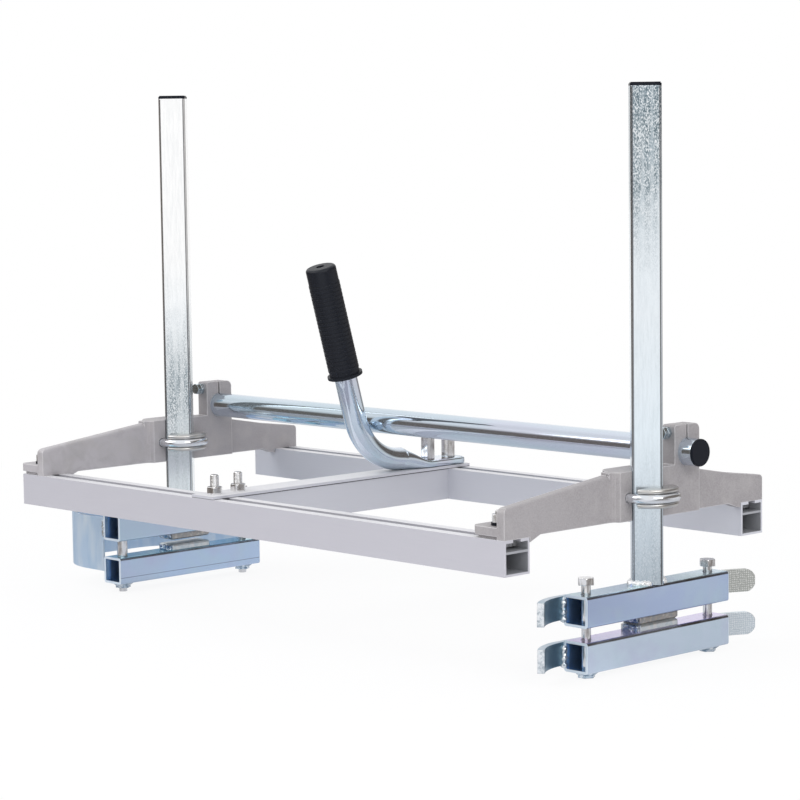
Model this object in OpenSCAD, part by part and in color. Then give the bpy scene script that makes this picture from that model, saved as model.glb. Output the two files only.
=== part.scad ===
// Chainsaw mill: two guide rails with clamp brackets, sliding posts and saw-bar jaws.
// The rail frame has x along the rails, y across them and z up from the rails' underside.

/* [Guide rails] */
// Length of each guide rail
rail_len = 664.5; // [560:0.5:1200]
// Height of a guide rail
rail_h = 30; // [28:0.5:40]
// Width of a guide rail
rail_w = 29.5; // [28:0.5:36]
// Distance over the outsides of both rails
frame_w = 331; // [325:1:420]
// Thickness of a rail's walls
rail_wall = 2; // [1.5:0.1:3]
// Thickness of the lips beside the slot
lip_t = 2.5; // [2:0.1:4]
// Width of the slot between the lips
slot_w = 9; // [8.5:0.1:11]
// Height of the slot's chamber under the lips
slot_h = 7; // [6.5:0.1:9]

/* [Centre brace and handle] */
// Distance from the rails' left end to the middle of the brace
brace_x = 279; // [262:1:300]
// Width of the brace's top plate
brace_w = 30; // [24:0.5:40]
// Distance that the plate stands out past the brace's sides
brace_lap = 1; // [0:0.1:3]
// Thickness of the brace's top plate, which laps over the rails
brace_plate = 3; // [2:0.1:5]
// Distance from a rail stud to the brace's own stud
stud_pitch = 28; // [24:0.5:40]
// Diameter of the handle's tube
handle_d = 22; // [18:0.5:26]
// Wall of the handle's tube
handle_wall = 2; // [1.5:0.1:3]
// Lean of the handle from upright, in degrees
handle_lean = 15.8; // [5:0.1:30]
// Radius of the handle's bend, on its middle line
handle_bend = 60; // [45:1:80]
// Height of the handle's top end above the brace
handle_rise = 203; // [160:1:260]
// Distance from the handle's end to the rail stud under it
handle_end = 10; // [8.5:0.1:12]
// Thickness of the handle's flattened foot
foot_t = 7.5; // [5:0.1:9]
// Width of the handle's flattened foot
foot_w = 31; // [24:0.5:34]
// Diameter of the rubber grip
grip_d = 30; // [27:0.5:36]
// Length of the rubber grip
grip_len = 110; // [80:1:140]

/* [Cross bar] */
// Diameter of the cross bar
bar_d = 24; // [22:0.5:28]
// Wall of the cross bar
bar_wall = 2; // [1.5:0.1:4]
// Distance from the rear rail's rear face to the bar's axis
bar_back = 110; // [101:1:115]
// Height of the bar's axis above the rails
bar_up = 53.8; // [50:0.1:62]
// Length of the bar that stands out past the right bracket's clamp
bar_out = 13.3; // [6:0.1:40]
// Length of the bar that stands out past the left bracket's clamp
bar_out_left = 1.6; // [0.5:0.1:8]
// Thickness of the bar's end caps
bar_cap = 2.5; // [1.5:0.1:5]

/* [Clamp brackets] */
// Distance from the rails' left end to the left bracket's outer face
left_x = 33; // [30:0.1:60]
// Thickness of the bracket's web
web_t = 8.5; // [7:0.1:12]
// Height of the web over the rail
web_end = 26; // [23:0.5:34]
// Height of the seat block above the rail
seat_h = 43.6; // [42:0.1:56]
// How far the seat and clamp stand out from the web
land = 6; // [4:0.1:9]
// Radius of the rounded back of the seat block
seat_r = 13.5; // [12:0.1:16]
// Thickness of the split clamp along the bar
clamp_t = 14; // [11:0.5:18]
// Width of the split clamp across the bar
clamp_w = 32.5; // [31:0.5:46]
// Height of the clamp above the bar's axis
clamp_up = 23; // [22:0.1:30]
// Width of the slit in the clamp
slit = 2; // [1:0.1:4]
// Length of each foot along its rail
foot_len = 30; // [24:0.5:40]
// Height of each foot's top above its rail
foot_h = 10; // [7:0.1:12]
// Height of the pad under each foot
foot_pad = 2.8; // [1:0.1:4]
// Distance from the web to the foot's stud
stud_in = 10.5; // [9:0.1:14]
// Depth of the lips that fit between the rails
key_h = 4.2; // [2:0.1:8]

/* [Posts] */
// Width of a post's square tube
post_w = 26.5; // [22:0.5:28]
// Wall of a post's tube
post_wall = 2; // [1.5:0.1:3]
// Distance from the rear rail's rear face to the posts' axes
post_back = 163.2; // [160:0.1:172]
// Height of the posts' caps above the rails' underside
post_top = 401; // [300:1:520]
// Height of the posts' end caps
post_cap = 3; // [2:0.1:6]
// Diameter of the U-bolts' rod
u_rod = 8; // [6:0.5:9]
// Height of the U-bolts above the rails
u_up = 21; // [18:0.1:26]

/* [Jaws] */
// Width of the jaws' square tubes
jaw_w = 26.5; // [22:0.5:28]
// Wall of the jaws' tubes
jaw_wall = 2.3; // [1.5:0.1:3]
// Length of the jaws
jaw_len = 183; // [160:1:240]
// Distance of the jaws' middle behind the posts
jaw_offset = 1.5; // [0:0.1:4]
// Distance from the rails' underside down to the right upper jaw
right_drop = 24.3; // [22:0.1:60]
// Distance from the rails' underside down to the left upper jaw
left_drop = 15.8; // [14:0.1:60]
// Distance from the rails' underside down to the right lower jaw
right_lower = 63; // [63:0.1:110]
// How much higher the left lower jaw hangs
left_raise = 3.8; // [2:0.1:4]
// Distance from a jaw's end to its bolt
bolt_in = 13; // [11:0.5:20]
// How far the right front bolt's head stands above the upper jaw
right_lift = 8; // [5:0.1:20]
// How far the right rear bolt's head stands above the upper jaw
rear_lift = 5; // [4:0.1:20]
// How far the left bolts' heads stand above the upper jaw
left_lift = 6; // [4:0.1:20]
// Length of the clamping pads
pad_len = 48; // [30:1:70]
// Distance of the pads' middle behind the posts
pad_back = 3; // [0:0.1:6]
// Height of each clamping pad
pad_h = 6.1; // [4:0.1:6.1]
// Width of the clamping pads
pad_w = 22; // [16:0.5:24]

/* [Runners and nose guard] */
// Height of the runner strips
runner_h = 20; // [16:0.5:24]
// Thickness of the runner strips
runner_t = 6; // [3:0.1:7]
// Slope of the runners down towards the rear, in degrees
runner_tilt = 1; // [0:0.1:1.5]
// Radius of the runner's hooked front end
hook_r = 66; // [50:1:90]
// Distance that the hook reaches past the jaw
hook_reach = 43; // [20:1:46]
// Radius of the runner's rear sweep
sweep_r = 110; // [100:1:200]
// Distance that the sweep reaches past the jaw
sweep_reach = 55; // [20:1:60]
// Height of the nose guard
guard_h = 54.4; // [40:0.1:70]
// Length of the nose guard's straight sides
guard_side = 29; // [10:1:80]
// Radius of the nose guard's two bends
guard_r = 70; // [20:1:75]
// Distance from the left upper jaw's top down to the nose guard's
guard_down = 4.2; // [1:0.1:6]
// Thickness of the nose guard's sheet
guard_t = 2; // [1.5:0.1:3]

/* [Fasteners] */
// Diameter of the studs and jaw bolts
m8 = 8; // [7:0.1:9]
// Width of their nuts and heads across the flats
m8_af = 13; // [12:0.1:14]
// Height of a nut
nut_h = 6.8; // [5:0.1:8]
// Height of the nuts under the lower jaws
jaw_nut = 5.2; // [4:0.1:8]
// Height of the tall nuts on the handle's foot
tall_nut = 23; // [18:0.5:32]
// Diameter of the clamps' pinch screws
m6 = 6; // [5:0.1:6.5]
// Width of their nuts and heads across the flats
m6_af = 10; // [9:0.1:11]

/* [Hidden] */
$fn = 48;

// Running clearance of a shaft in its bore, and clearance round a fastener
fit = 0.05;
clear = 0.3;
eps = 0.01;

// Places that follow from the sizes above
rail_mid = rail_w / 2;
rear_y = frame_w - rail_w;
right_x = rail_len;
bar_z = rail_h + bar_up;
u_z = rail_h + u_up;
bar_y = frame_w - bar_back;
post_y = frame_w - post_back;
post_off = land;
post_half = post_w / sqrt(2);
tube_r = 2.5;
jaw_y = post_y + jaw_offset;
pad_y = post_y + pad_back;
bolt_ys = [jaw_y - jaw_len / 2 + bolt_in, jaw_y + jaw_len / 2 - bolt_in];
left_top = -left_drop;
right_top = -right_drop;
right_low = -right_lower;
left_low = right_low + left_raise;
ground = right_low - jaw_w - jaw_nut;
stud_ys = [rail_mid, frame_w - rail_mid];
stud_off = -web_t - stud_in;
foot_top = rail_h + foot_h;
washer_h = 2.5;
plate_top = rail_h + brace_plate;
slot_top = rail_h - lip_t;
clamp_x0 = land - clamp_t;
bar_x0 = left_x + clamp_x0 - bar_out_left;
bar_x1 = right_x + land + bar_out;
guard_x = left_x + post_off - jaw_w / 2 - guard_side;
min_x = guard_x - guard_r;
u_mid = post_half + u_rod / 2 + 0.2;
bow_x = land + u_rod / 2;
max_x = max(bar_x1 + bar_cap, right_x + bow_x + u_mid + u_rod / 2);
mid_x = (min_x + max_x) / 2;

// Seat block: where the web's slope meets it, its edge beside the post, its top and the cast radius
seat_y0 = post_y - post_half - 17;
seat_edge = post_half + 14.3;
seat_z = rail_h + seat_h;
arm_z = seat_z - 2;
cast_r = 3;
slope = atan((arm_z - rail_h - web_end) / seat_y0);

// Pinch screw of the split clamp
pinch_x = clamp_x0 + clamp_t / 2 - 2;
pinch_z = bar_z + bar_d / 2 + m6 / 2 + 2.2;
pinch_nut_h = 3.4;

// Spot faces for the U-bolt's nuts, cut into the seat block's back
spot_x = -web_t - seat_r + 6.5;

// Rear studs of the brace, which also hold the handle
rear_studs = [frame_w - rail_mid - stud_pitch, frame_w - rail_mid];
front_studs = [rail_mid, rail_mid + stud_pitch];

// Middle line of the handle: y of its end and of the flat run's start, centre of the bend, stem
foot_end = rear_studs[1] + handle_end;
flat_y = rear_studs[0] - m8_af * 0.72;
flatten = 30;
bend_y = flat_y - flatten;
bend_z = plate_top + handle_d / 2 + handle_bend;
stem_y = bend_y - handle_bend * cos(handle_lean);
stem_z = bend_z - handle_bend * sin(handle_lean);
stem_len = (plate_top + handle_rise - stem_z) / cos(handle_lean);
grip_end = 3;

// Colours
zinc = [0.72, 0.77, 0.84];
rail_grey = [0.77, 0.76, 0.80];
cast_grey = [0.65, 0.63, 0.64];
steel = [0.75, 0.74, 0.73];
black = [0.10, 0.11, 0.13];

// Moves the rail frame's origin under the middle of the whole object
module place(x = 0, y = 0, z = 0) {
  translate([x - mid_x, y - frame_w / 2, z - ground])
    children();
}

// Extrudes an outline drawn in y and z along x
module along_x(length) {
  rotate([90, 0, 90])
    linear_extrude(length)
      children();
}

// Extrudes an outline drawn in x and z along y, from y = 0 towards +y
module along_y(length) {
  translate([0, length, 0])
    rotate([90, 0, 0])
      linear_extrude(length)
        children();
}

module round_square(w, r) {
  square([w, w - 2 * r], center = true);
  square([w - 2 * r, w], center = true);
  for (x = [-1, 1], y = [-1, 1])
    translate([x, y] * (w / 2 - r))
      circle(r);
}

module square_tube(w, wall, r) {
  difference() {
    round_square(w, r);
    round_square(w - 2 * wall, max(r - wall, 0.6));
  }
}

// Hexagonal prism with a chamfered top, and a bore where one is given
module hex(af, h, bore = 0) {
  r = af / sqrt(3);
  difference() {
    intersection() {
      cylinder(h = h, r = r, $fn = 6);
      rotate_extrude()
        polygon([[0, 0], [r + eps, 0], [r + eps, h - r * 0.12], [r * 0.9, h], [0, h]]);
    }
    if (bore > 0)
      translate([0, 0, -1])
        cylinder(h = h + 2, d = bore);
  }
}

// Slotted rail: a closed box below, a chamber with two lips above
module rail() {
  floor_z = slot_top - slot_h;
  inner = rail_w - 2 * rail_wall;
  color(rail_grey)
    along_x(rail_len)
      difference() {
        square([rail_w, rail_h]);
        translate([rail_wall, rail_wall])
          square([inner, floor_z - 2 * rail_wall]);
        translate([rail_wall, floor_z])
          square([inner, slot_h]);
        translate([rail_mid - slot_w / 2, slot_top - 1])
          square([slot_w, lip_t + 2]);
      }
}

// T-headed stud whose head fills the rail's chamber
module t_stud(top) {
  head_w = rail_w - 2 * rail_wall - 2 * clear;
  head_h = slot_h - 2 * clear - 0.7;
  color(steel) {
    translate([-m8_af / 2, -head_w / 2, slot_top - head_h])
      cube([m8_af, head_w, head_h]);
    translate([0, 0, slot_top - 1])
      cylinder(h = top - slot_top, d = m8);
    translate([0, 0, top - 1])
      cylinder(h = 1, d1 = m8, d2 = m8 - 1.6);
  }
}

module centre_brace() {
  body = rear_y - rail_w;
  wall = rail_wall;
  w = brace_w - 2 * brace_lap;
  color(rail_grey)
    difference() {
      union() {
        translate([-w / 2, rail_w, 0])
          cube([w, body, rail_h]);
        translate([-brace_w / 2, 0, rail_h])
          cube([brace_w, frame_w, brace_plate]);
      }
      translate([wall - w / 2, rail_w - 1, wall])
        cube([w - 2 * wall, body + 2, rail_h - wall]);
      for (y = concat(front_studs, rear_studs))
        translate([0, y, rail_h - 1])
          cylinder(h = brace_plate + 2, d = m8 + clear);
    }
}

// Hex bolt that stands up from under the brace's top plate
module brace_bolt(top) {
  head = 5.3;
  color(steel) {
    translate([0, 0, rail_h - head])
      cylinder(h = head, r = m8_af / sqrt(3), $fn = 6);
    translate([0, 0, rail_h - 1])
      cylinder(h = top - rail_h, d = m8);
    translate([0, 0, top - 1])
      cylinder(h = 1, d1 = m8, d2 = m8 - 1.6);
  }
}

module brace_studs() {
  front_top = plate_top + 18;
  rear_top = plate_top + foot_t + tall_nut - 4;
  translate([0, front_studs[0], 0])
    t_stud(front_top);
  translate([0, front_studs[1], 0])
    brace_bolt(front_top);
  translate([0, rear_studs[0], 0])
    brace_bolt(rear_top);
  translate([0, rear_studs[1], 0])
    t_stud(rear_top);
}

module brace_nuts() {
  color(steel)
    for (y = front_studs)
      translate([0, y, plate_top])
        rotate([0, 0, 12])
          hex(m8_af, nut_h, m8 + 2 * fit);
}

module handle_nuts() {
  color(steel)
    for (y = rear_studs)
      translate([0, y, plate_top + foot_t])
        rotate([0, 0, 12])
          hex(m8_af, tall_nut, m8 + 2 * fit);
}

// Places children on the handle's stem, z along it and 0 where the bend begins
module on_stem(s = 0) {
  translate([0, stem_y, stem_z])
    rotate([handle_lean, 0, 0])
      translate([0, 0, s])
        children();
}

// Bent tube: the stem, the bend, and a foot pressed flat with two rounded corners
module handle_tube() {
  inner = handle_d - 2 * handle_wall;
  corner = 5;
  half = foot_w / 2;
  color(zinc) {
    on_stem()
      difference() {
        cylinder(h = stem_len - grip_end, d = handle_d);
        translate([0, 0, -1])
          cylinder(h = stem_len + 1, d = inner);
      }
    translate([0, bend_y, bend_z])
      rotate([0, 90, 0])
        rotate([0, 0, -90 + handle_lean])
          rotate_extrude(angle = 90 - handle_lean)
            translate([handle_bend, 0])
              rotate([0, 0, -90])
                difference() {
                  circle(d = handle_d);
                  circle(d = inner);
                }
    difference() {
      union() {
        hull() {
          translate([0, bend_y - 3, plate_top + handle_d / 2])
            rotate([-90, 0, 0])
              cylinder(h = 3, d = handle_d - 0.4, $fn = 40);
          translate([-half, flat_y - 0.5, plate_top])
            cube([foot_w, 0.5, foot_t]);
        }
        translate([-half, flat_y - eps, plate_top])
          cube([foot_w, foot_end - flat_y - corner, foot_t]);
        translate([corner - half, flat_y, plate_top])
          cube([foot_w - 2 * corner, foot_end - flat_y, foot_t]);
        for (x = [-1, 1])
          translate([x * (half - corner), foot_end - corner, plate_top])
            cylinder(h = foot_t, r = corner);
      }
      for (y = rear_studs)
        translate([0, y, plate_top - 1])
          cylinder(h = foot_t + 2, d = m8 + clear);
    }
  }
}

// Rubber grip with ribs, a flange at its mouth and a hole in its domed end
module handle_grip() {
  rib = 4;
  ribs = floor((grip_len - 22) / rib);
  r = grip_d / 2;
  skin = r - 0.4;
  dome = 3;
  color(black)
    on_stem(stem_len - grip_len)
      rotate_extrude()
        difference() {
          union() {
            square([skin, grip_len - dome]);
            translate([0, grip_len - dome])
              square([skin - dome, dome]);
            translate([skin - dome, grip_len - dome])
              circle(dome);
            square([r + 2, 2.4]);
            for (i = [0 : ribs - 1])
              translate([0, 7 + rib * i])
                square([r, rib * 0.6]);
          }
          translate([0, -1])
            square([handle_d / 2 + fit, grip_len - grip_end + 1]);
          square([4, grip_len + 1]);
        }
}

module cross_bar() {
  color(zinc)
    translate([bar_x0, bar_y, bar_z])
      rotate([0, 90, 0])
        difference() {
          cylinder(h = bar_x1 - bar_x0, d = bar_d, $fn = 96);
          translate([0, 0, -1])
            cylinder(h = bar_x1 - bar_x0 + 2, d = bar_d - 2 * bar_wall, $fn = 96);
        }
}

// End cap with a rounded rim and a plug that fits the bar's bore
module bar_plug() {
  plug = 8;
  rim = 0.8;
  color(black)
    rotate([0, 90, 0])
      rotate_extrude() {
        square([bar_d / 2, bar_cap - rim]);
        square([bar_d / 2 - rim, bar_cap]);
        translate([bar_d / 2 - rim, bar_cap - rim])
          circle(rim);
        translate([0, -plug])
          square([bar_d / 2 - bar_wall - fit, plug + eps]);
      }
}

module cross_bar_caps() {
  translate([bar_x1, bar_y, bar_z])
    bar_plug();
  translate([bar_x0, bar_y, bar_z])
    mirror([1, 0, 0])
      bar_plug();
}

// Side outline of the bracket's web, in y and z
module web_outline() {
  clamp_y1 = bar_y + clamp_w / 2 + 0.7;
  under = rail_h + 1;
  key_y0 = rail_w + clear + 0.5;
  key_y1 = rear_y - clear - 0.5;
  front_z = rail_h + web_end;
  rear_z = front_z - 3.2;
  r = 4;
  polygon([
    [0, rail_h], [0, front_z - r], [r, front_z + r * tan(slope)], [seat_y0, arm_z], [bar_y, arm_z],
    [clamp_y1, arm_z - 4.5], [(clamp_y1 + frame_w) / 2, front_z + 2.6],
    [frame_w - r, rear_z], [frame_w, rear_z - r],
    [frame_w, rail_h], [key_y1, rail_h], [key_y1, rail_h - key_h],
    [key_y1 - 5, rail_h - key_h + 1], [key_y1 - 17, under], [key_y0 + 12.5, under],
    [key_y0, rail_h - key_h], [key_y0, rail_h]
  ]);
  translate([r, front_z - r])
    circle(r);
  translate([frame_w - r, rear_z - r])
    circle(r);
}

// Outline of the seat block from above: rounded back, lands either side of the V
module seat_outline() {
  spread = post_half + seat_r - 12.7;
  for (s = [-1, 1])
    translate([-web_t, s * spread])
      circle(seat_r);
  translate([-web_t - seat_r, -spread])
    square([seat_r + web_t + land, 2 * spread]);
  polygon([
    [-web_t, -seat_edge - 8.5], [0, -seat_edge - 8.5], [0.8, -seat_edge - 4.6], [2.4, -seat_edge - 2.3],
    [land - 0.7, -seat_edge - 0.7], [land, -seat_edge], [land, post_half + 20], [-web_t, post_half + 20]
  ]);
}

// V that a post slides in, cut through the seat block and the web
module seat_v() {
  v = post_half + fit * sqrt(2);
  translate([0, post_y, -key_h])
    linear_extrude(rail_h + seat_h + 2 * key_h)
      polygon([[post_off - v, 0], [land + 1, v + 1], [land + 1, -v - 1]]);
}

// Block round the bar, slit from its top to the bar's bore, with rounded top corners
module split_clamp() {
  h = bar_up + clamp_up;
  w = clamp_w / 2;
  front = 2.5;
  rear = 6;
  along_x(clamp_t)
    difference() {
      union() {
        translate([-w, 0])
          square([2 * w, h - rear]);
        translate([-w, h - rear - eps])
          square([w, rear - front + eps]);
        translate([front - w, h - rear])
          square([2 * w - front - rear, rear]);
        translate([front - w, h - front])
          circle(front);
        translate([w - rear, h - rear])
          circle(rear);
      }
      translate([-slit / 2, bar_up])
        square([slit, h]);
    }
}

// Cutter that rounds a straight edge: the edge runs along y, the body is below it and to its left
module round_edge(length) {
  difference() {
    translate([-cast_r, 0, -cast_r])
      cube([cast_r + 1, length, cast_r + 1]);
    translate([-cast_r, -1, -cast_r])
      rotate([-90, 0, 0])
        cylinder(h = length + 2, r = cast_r);
  }
}

// Cast bracket: web, V seat for the post, split clamp for the bar, and a foot on each rail
module bracket() {
  color(cast_grey)
    difference() {
      union() {
        translate([-web_t, 0, 0])
          along_x(web_t)
            web_outline();
        translate([0, post_y, rail_h + 1])
          linear_extrude(seat_h - 1)
            seat_outline();
        translate([clamp_x0, bar_y, rail_h + 1])
          split_clamp();
        for (y = [0, rear_y])
          foot(y);
      }
      translate([0, 0, rail_h + web_end])
        rotate([slope, 0, 0])
          translate([0, -5, 0])
            round_edge(5 + (seat_y0 - 5) / cos(slope));
      seat_v();
      translate([clamp_x0 - 1, bar_y, bar_z])
        rotate([0, 90, 0])
          cylinder(h = clamp_t + 2, r = bar_d / 2 + fit, $fn = 96);
      for (s = [-1, 1])
        translate([-web_t - seat_r - 1, post_y + s * u_mid, u_z])
          rotate([0, 90, 0]) {
            cylinder(h = web_t + seat_r + land + 3, d = u_rod + 2 * clear);
            cylinder(h = spot_x + web_t + seat_r + 1, r = m8_af / 2 + 3);
          }
      translate([pinch_x, bar_y - clamp_w / 2 - 1, pinch_z])
        rotate([-90, 0, 0])
          cylinder(h = clamp_w + 2, d = m6 + 2 * clear);
      for (y = stud_ys)
        translate([stud_off, y, rail_h - 1])
          cylinder(h = foot_h + 2, d = m8 + 2 * clear);
    }
}

// Outline of a foot from above, drawn in by the given distance from its rim
module foot_outline(inset) {
  r = 8;
  x1 = -web_t + eps;
  x0 = x1 - foot_len + inset;
  translate([x0, r])
    square([x1 - x0, rail_w - 2 * r]);
  translate([x1 - foot_len + r, inset])
    square([foot_len - r, rail_w - 2 * inset]);
  for (c = [r, rail_w - r])
    translate([x1 - foot_len + r, c])
      circle(r - inset);
}

// Foot that lies on a rail: a plate with a round tip on a smaller pad
module foot(y) {
  translate([0, y, rail_h])
    linear_extrude(foot_pad + eps)
      foot_outline(3);
  translate([0, y, rail_h + foot_pad])
    linear_extrude(foot_h - foot_pad)
      foot_outline(0);
}

module foot_studs() {
  for (y = stud_ys)
    translate([stud_off, y, 0])
      t_stud(foot_top + 12.5);
}

module foot_washers() {
  color(black)
    for (y = stud_ys)
      translate([stud_off, y, foot_top])
        difference() {
          cylinder(h = washer_h, d = m8_af + 2);
          translate([0, 0, -1])
            cylinder(h = washer_h + 2, d = m8 + 2 * fit);
        }
}

module foot_nuts() {
  color(steel)
    for (y = stud_ys)
      translate([stud_off, y, foot_top + washer_h])
        rotate([0, 0, 20])
          hex(m8_af, nut_h, m8 + 2 * fit);
}

// Screw across the clamp's slit: head in front, tip just out of the nut at the back
module pinch_screw() {
  head = 4.2;
  out = 8;
  length = out + clamp_w + pinch_nut_h;
  color(steel)
    translate([pinch_x, bar_y - clamp_w / 2 - out, pinch_z])
      rotate([-90, 0, 0]) {
        translate([0, 0, head])
          rotate([180, 0, 0])
            hex(m6_af, head);
        cylinder(h = length, d = m6);
        translate([0, 0, length])
          cylinder(h = 1, d1 = m6, d2 = m6 - 1.4);
      }
}

module pinch_nut() {
  color(steel)
    for (s = [-1, 1])
      translate([pinch_x, bar_y + s * clamp_w / 2, pinch_z])
        rotate([-90 * s, 0, 0])
          hex(m6_af, pinch_nut_h, m6 + 2 * fit);
}

// Bow of the U-bolt in the level plane, legs through the bracket to its back
module u_bolt() {
  leg = bow_x + web_t + seat_r + 3.5;
  color(zinc)
    translate([0, post_y, u_z]) {
      translate([bow_x, 0, 0])
        rotate([0, 0, -90])
          rotate_extrude(angle = 180)
            translate([u_mid, 0])
              circle(d = u_rod);
      for (s = [-1, 1])
        translate([bow_x - leg, s * u_mid, 0])
          rotate([0, 90, 0])
            cylinder(h = leg, d = u_rod);
    }
}

// Saddle between the bow and the post: two round-edged flanges, with a V for the post's corner
module post_saddle() {
  flange = 4.2;
  flange_r = u_mid + 1.5;
  h = u_rod + 2 * flange;
  v = post_half + fit * sqrt(2) - bow_x + post_off;
  back = post_half - 8.5 - bow_x + post_off;
  color(steel)
    translate([bow_x, post_y, u_z - h / 2])
      difference() {
        rotate_extrude() {
          square([u_mid - u_rod / 2 - 0.2, h]);
          for (z = [0, h - flange])
            translate([0, z]) {
              square([flange_r - flange / 2, flange]);
              translate([flange_r - flange / 2, flange / 2])
                circle(flange / 2);
            }
        }
        translate([back - 2 * flange_r, -flange_r - 1, -1])
          cube([2 * flange_r, 2 * flange_r + 2, h + 2]);
        translate([0, 0, -1])
          linear_extrude(h + 2)
            polygon([[v, 0], [back - 1, v - back + 1], [back - 1, back - v - 1]]);
      }
}

module u_bolt_nuts() {
  color(steel)
    for (s = [-1, 1])
      translate([spot_x, post_y + s * u_mid, u_z])
        rotate([0, -90, 0])
          hex(m8_af, nut_h, u_rod + 2 * fit);
}

module post(bottom) {
  color(zinc)
    translate([post_off, post_y, bottom])
      rotate([0, 0, 45])
        linear_extrude(post_top - post_cap - bottom)
          square_tube(post_w, post_wall, tube_r);
}

module post_cap_piece() {
  plug = 10;
  color(black)
    translate([post_off, post_y, post_top - post_cap])
      rotate([0, 0, 45]) {
        linear_extrude(post_cap - 1)
          round_square(post_w, tube_r);
        translate([0, 0, post_cap - 1 - eps])
          linear_extrude(1)
            round_square(post_w - 1.6, tube_r);
        translate([0, 0, -plug])
          linear_extrude(plug + eps)
            square_tube(post_w - 2 * post_wall - 2 * fit, 1.5, 1);
      }
}

// Square tube along y with a pair of bolt holes
module jaw_tube(top) {
  difference() {
    translate([post_off, jaw_y - jaw_len / 2, top - jaw_w / 2])
      along_y(jaw_len)
        square_tube(jaw_w, jaw_wall, tube_r);
    for (y = bolt_ys)
      translate([post_off, y, top - jaw_w - 1])
        cylinder(h = jaw_w + 2, d = m8 + 4 * clear);
  }
}

// Upper jaw with the weld round the post's foot
module upper_jaw(top) {
  bead = 2.2;
  side = post_w / 2;
  reach = post_half + 2 * bead;
  color(zinc) {
    jaw_tube(top);
    intersection() {
      translate([post_off, post_y, top - 0.4])
        rotate([0, 0, 45])
          for (a = [0 : 90 : 270])
            rotate([0, 0, a])
              difference() {
                translate([side, -side - bead, 0])
                  rotate([-90, 0, 0])
                    cylinder(h = 2 * (side + bead), r = bead, $fn = 24);
                translate([-side, -side, -1])
                  translate([0, -bead - 1, -bead])
                    cube([2 * side, 2 * (side + bead) + 2, 3 * bead]);
              }
      translate([post_off - jaw_w / 2 + 1, post_y - reach, top - 0.2])
        cube([jaw_w - 2, 2 * reach, bead * 2]);
    }
  }
}

module lower_jaw(top) {
  color(zinc)
    jaw_tube(top);
}

// Clamping pad: a bar with bevelled edges and notched gripping face, z = 0 on the jaw
module pad() {
  h = pad_h;
  bevel = 1.6;
  notch = 0.8;
  pitch = 3;
  n = floor((pad_len - 6) / pitch);
  w = pad_w / 2;
  difference() {
    intersection() {
      translate([0, -pad_len / 2, 0])
        along_y(pad_len)
          polygon([[-w, 0], [w, 0], [w, h - bevel], [w - bevel, h], [bevel - w, h], [-w, h - bevel]]);
      translate([-w, 0, 0])
        along_x(2 * w)
          polygon([
            [-pad_len / 2, 0], [pad_len / 2, 0], [pad_len / 2, h - bevel],
            [pad_len / 2 - bevel, h], [bevel - pad_len / 2, h], [-pad_len / 2, h - bevel]
          ]);
    }
    for (i = [0 : n])
      translate([0, (i - n / 2) * pitch, h])
        rotate([45, 0, 0])
          cube([2 * w + 2, notch, notch], center = true);
  }
}

module upper_pad(top) {
  color(zinc)
    translate([post_off, pad_y, top - jaw_w])
      mirror([0, 0, 1])
        pad();
}

module lower_pad(top) {
  color(zinc)
    translate([post_off, pad_y, top])
      pad();
}

// Nuts welded under the lower jaw, each with its weld collar
module jaw_nuts(top) {
  collar = 3;
  color(zinc)
    for (y = bolt_ys)
      translate([post_off, y, top - jaw_w - jaw_nut])
        difference() {
          union() {
            cylinder(h = jaw_nut, r = m8_af / sqrt(3), $fn = 6);
            translate([0, 0, jaw_nut - collar])
              cylinder(h = collar, r1 = m8_af / sqrt(3), r2 = jaw_w / 2 - 2);
          }
          translate([0, 0, -1])
            cylinder(h = jaw_nut + 2, d = m8 + 2 * fit);
        }
}

// Sleeve on the left front bolt, which keeps the left jaws apart
module spacer() {
  gap = left_top - jaw_w - left_low;
  color(steel)
    translate([post_off, bolt_ys[0], left_low])
      difference() {
        cylinder(h = gap - clear, d = m8 + 2.5);
        translate([0, 0, -1])
          cylinder(h = gap + 2, d = m8 + 2 * clear);
      }
}

module jaw_bolt(y, top, lift) {
  head = 6;
  color(zinc)
    translate([post_off, y, ground]) {
      cylinder(h = top + lift - ground + eps, d = m8);
      translate([0, 0, top + lift - ground])
        rotate([0, 0, 15])
          hex(m8_af, head);
    }
}

// Outline from above of an arc of strip, bent towards +x from where it leaves x = 0
module bent_strip(r, t, a, side) {
  intersection() {
    translate([r, 0])
      difference() {
        circle(r, $fn = 240);
        circle(r - t, $fn = 240);
      }
    polygon([[r, 0], [-r, 0], [-r, side * r * tan(a) * 2], [r - r * cos(a) * 2, side * r * sin(a) * 2]]);
  }
}

// Runner strip on the inner side of the jaw with this top: hooked in front, swept and rounded behind
module runner(top) {
  half = jaw_len / 2;
  hook_a = asin(hook_reach / hook_r);
  end_r = runner_h / 2 + 0.4;
  sweep_a = asin(sweep_reach / sweep_r);
  round_a = end_r / sweep_r * 180 / PI;
  color(zinc)
    translate([post_off - jaw_w / 2 - runner_t, jaw_y, top - jaw_w / 2])
      rotate([-runner_tilt, 0, 0])
        difference() {
          translate([0, 0, -runner_h / 2])
            linear_extrude(runner_h) {
              translate([0, -half])
                square([runner_t, jaw_len]);
              translate([0, -half])
                bent_strip(hook_r, runner_t, hook_a, -1);
              translate([0, half])
                bent_strip(sweep_r, runner_t, sweep_a, 1);
            }
          translate([sweep_r, half, 0])
            rotate([0, 0, round_a - sweep_a])
              translate([-sweep_r - runner_t, 0, 0])
                difference() {
                  translate([0, 0, -2 * end_r])
                    cube([4 * runner_t, 3 * end_r, 4 * end_r]);
                  rotate([0, 90, 0])
                    cylinder(h = 4 * runner_t, r = end_r);
                }
        }
}

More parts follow.
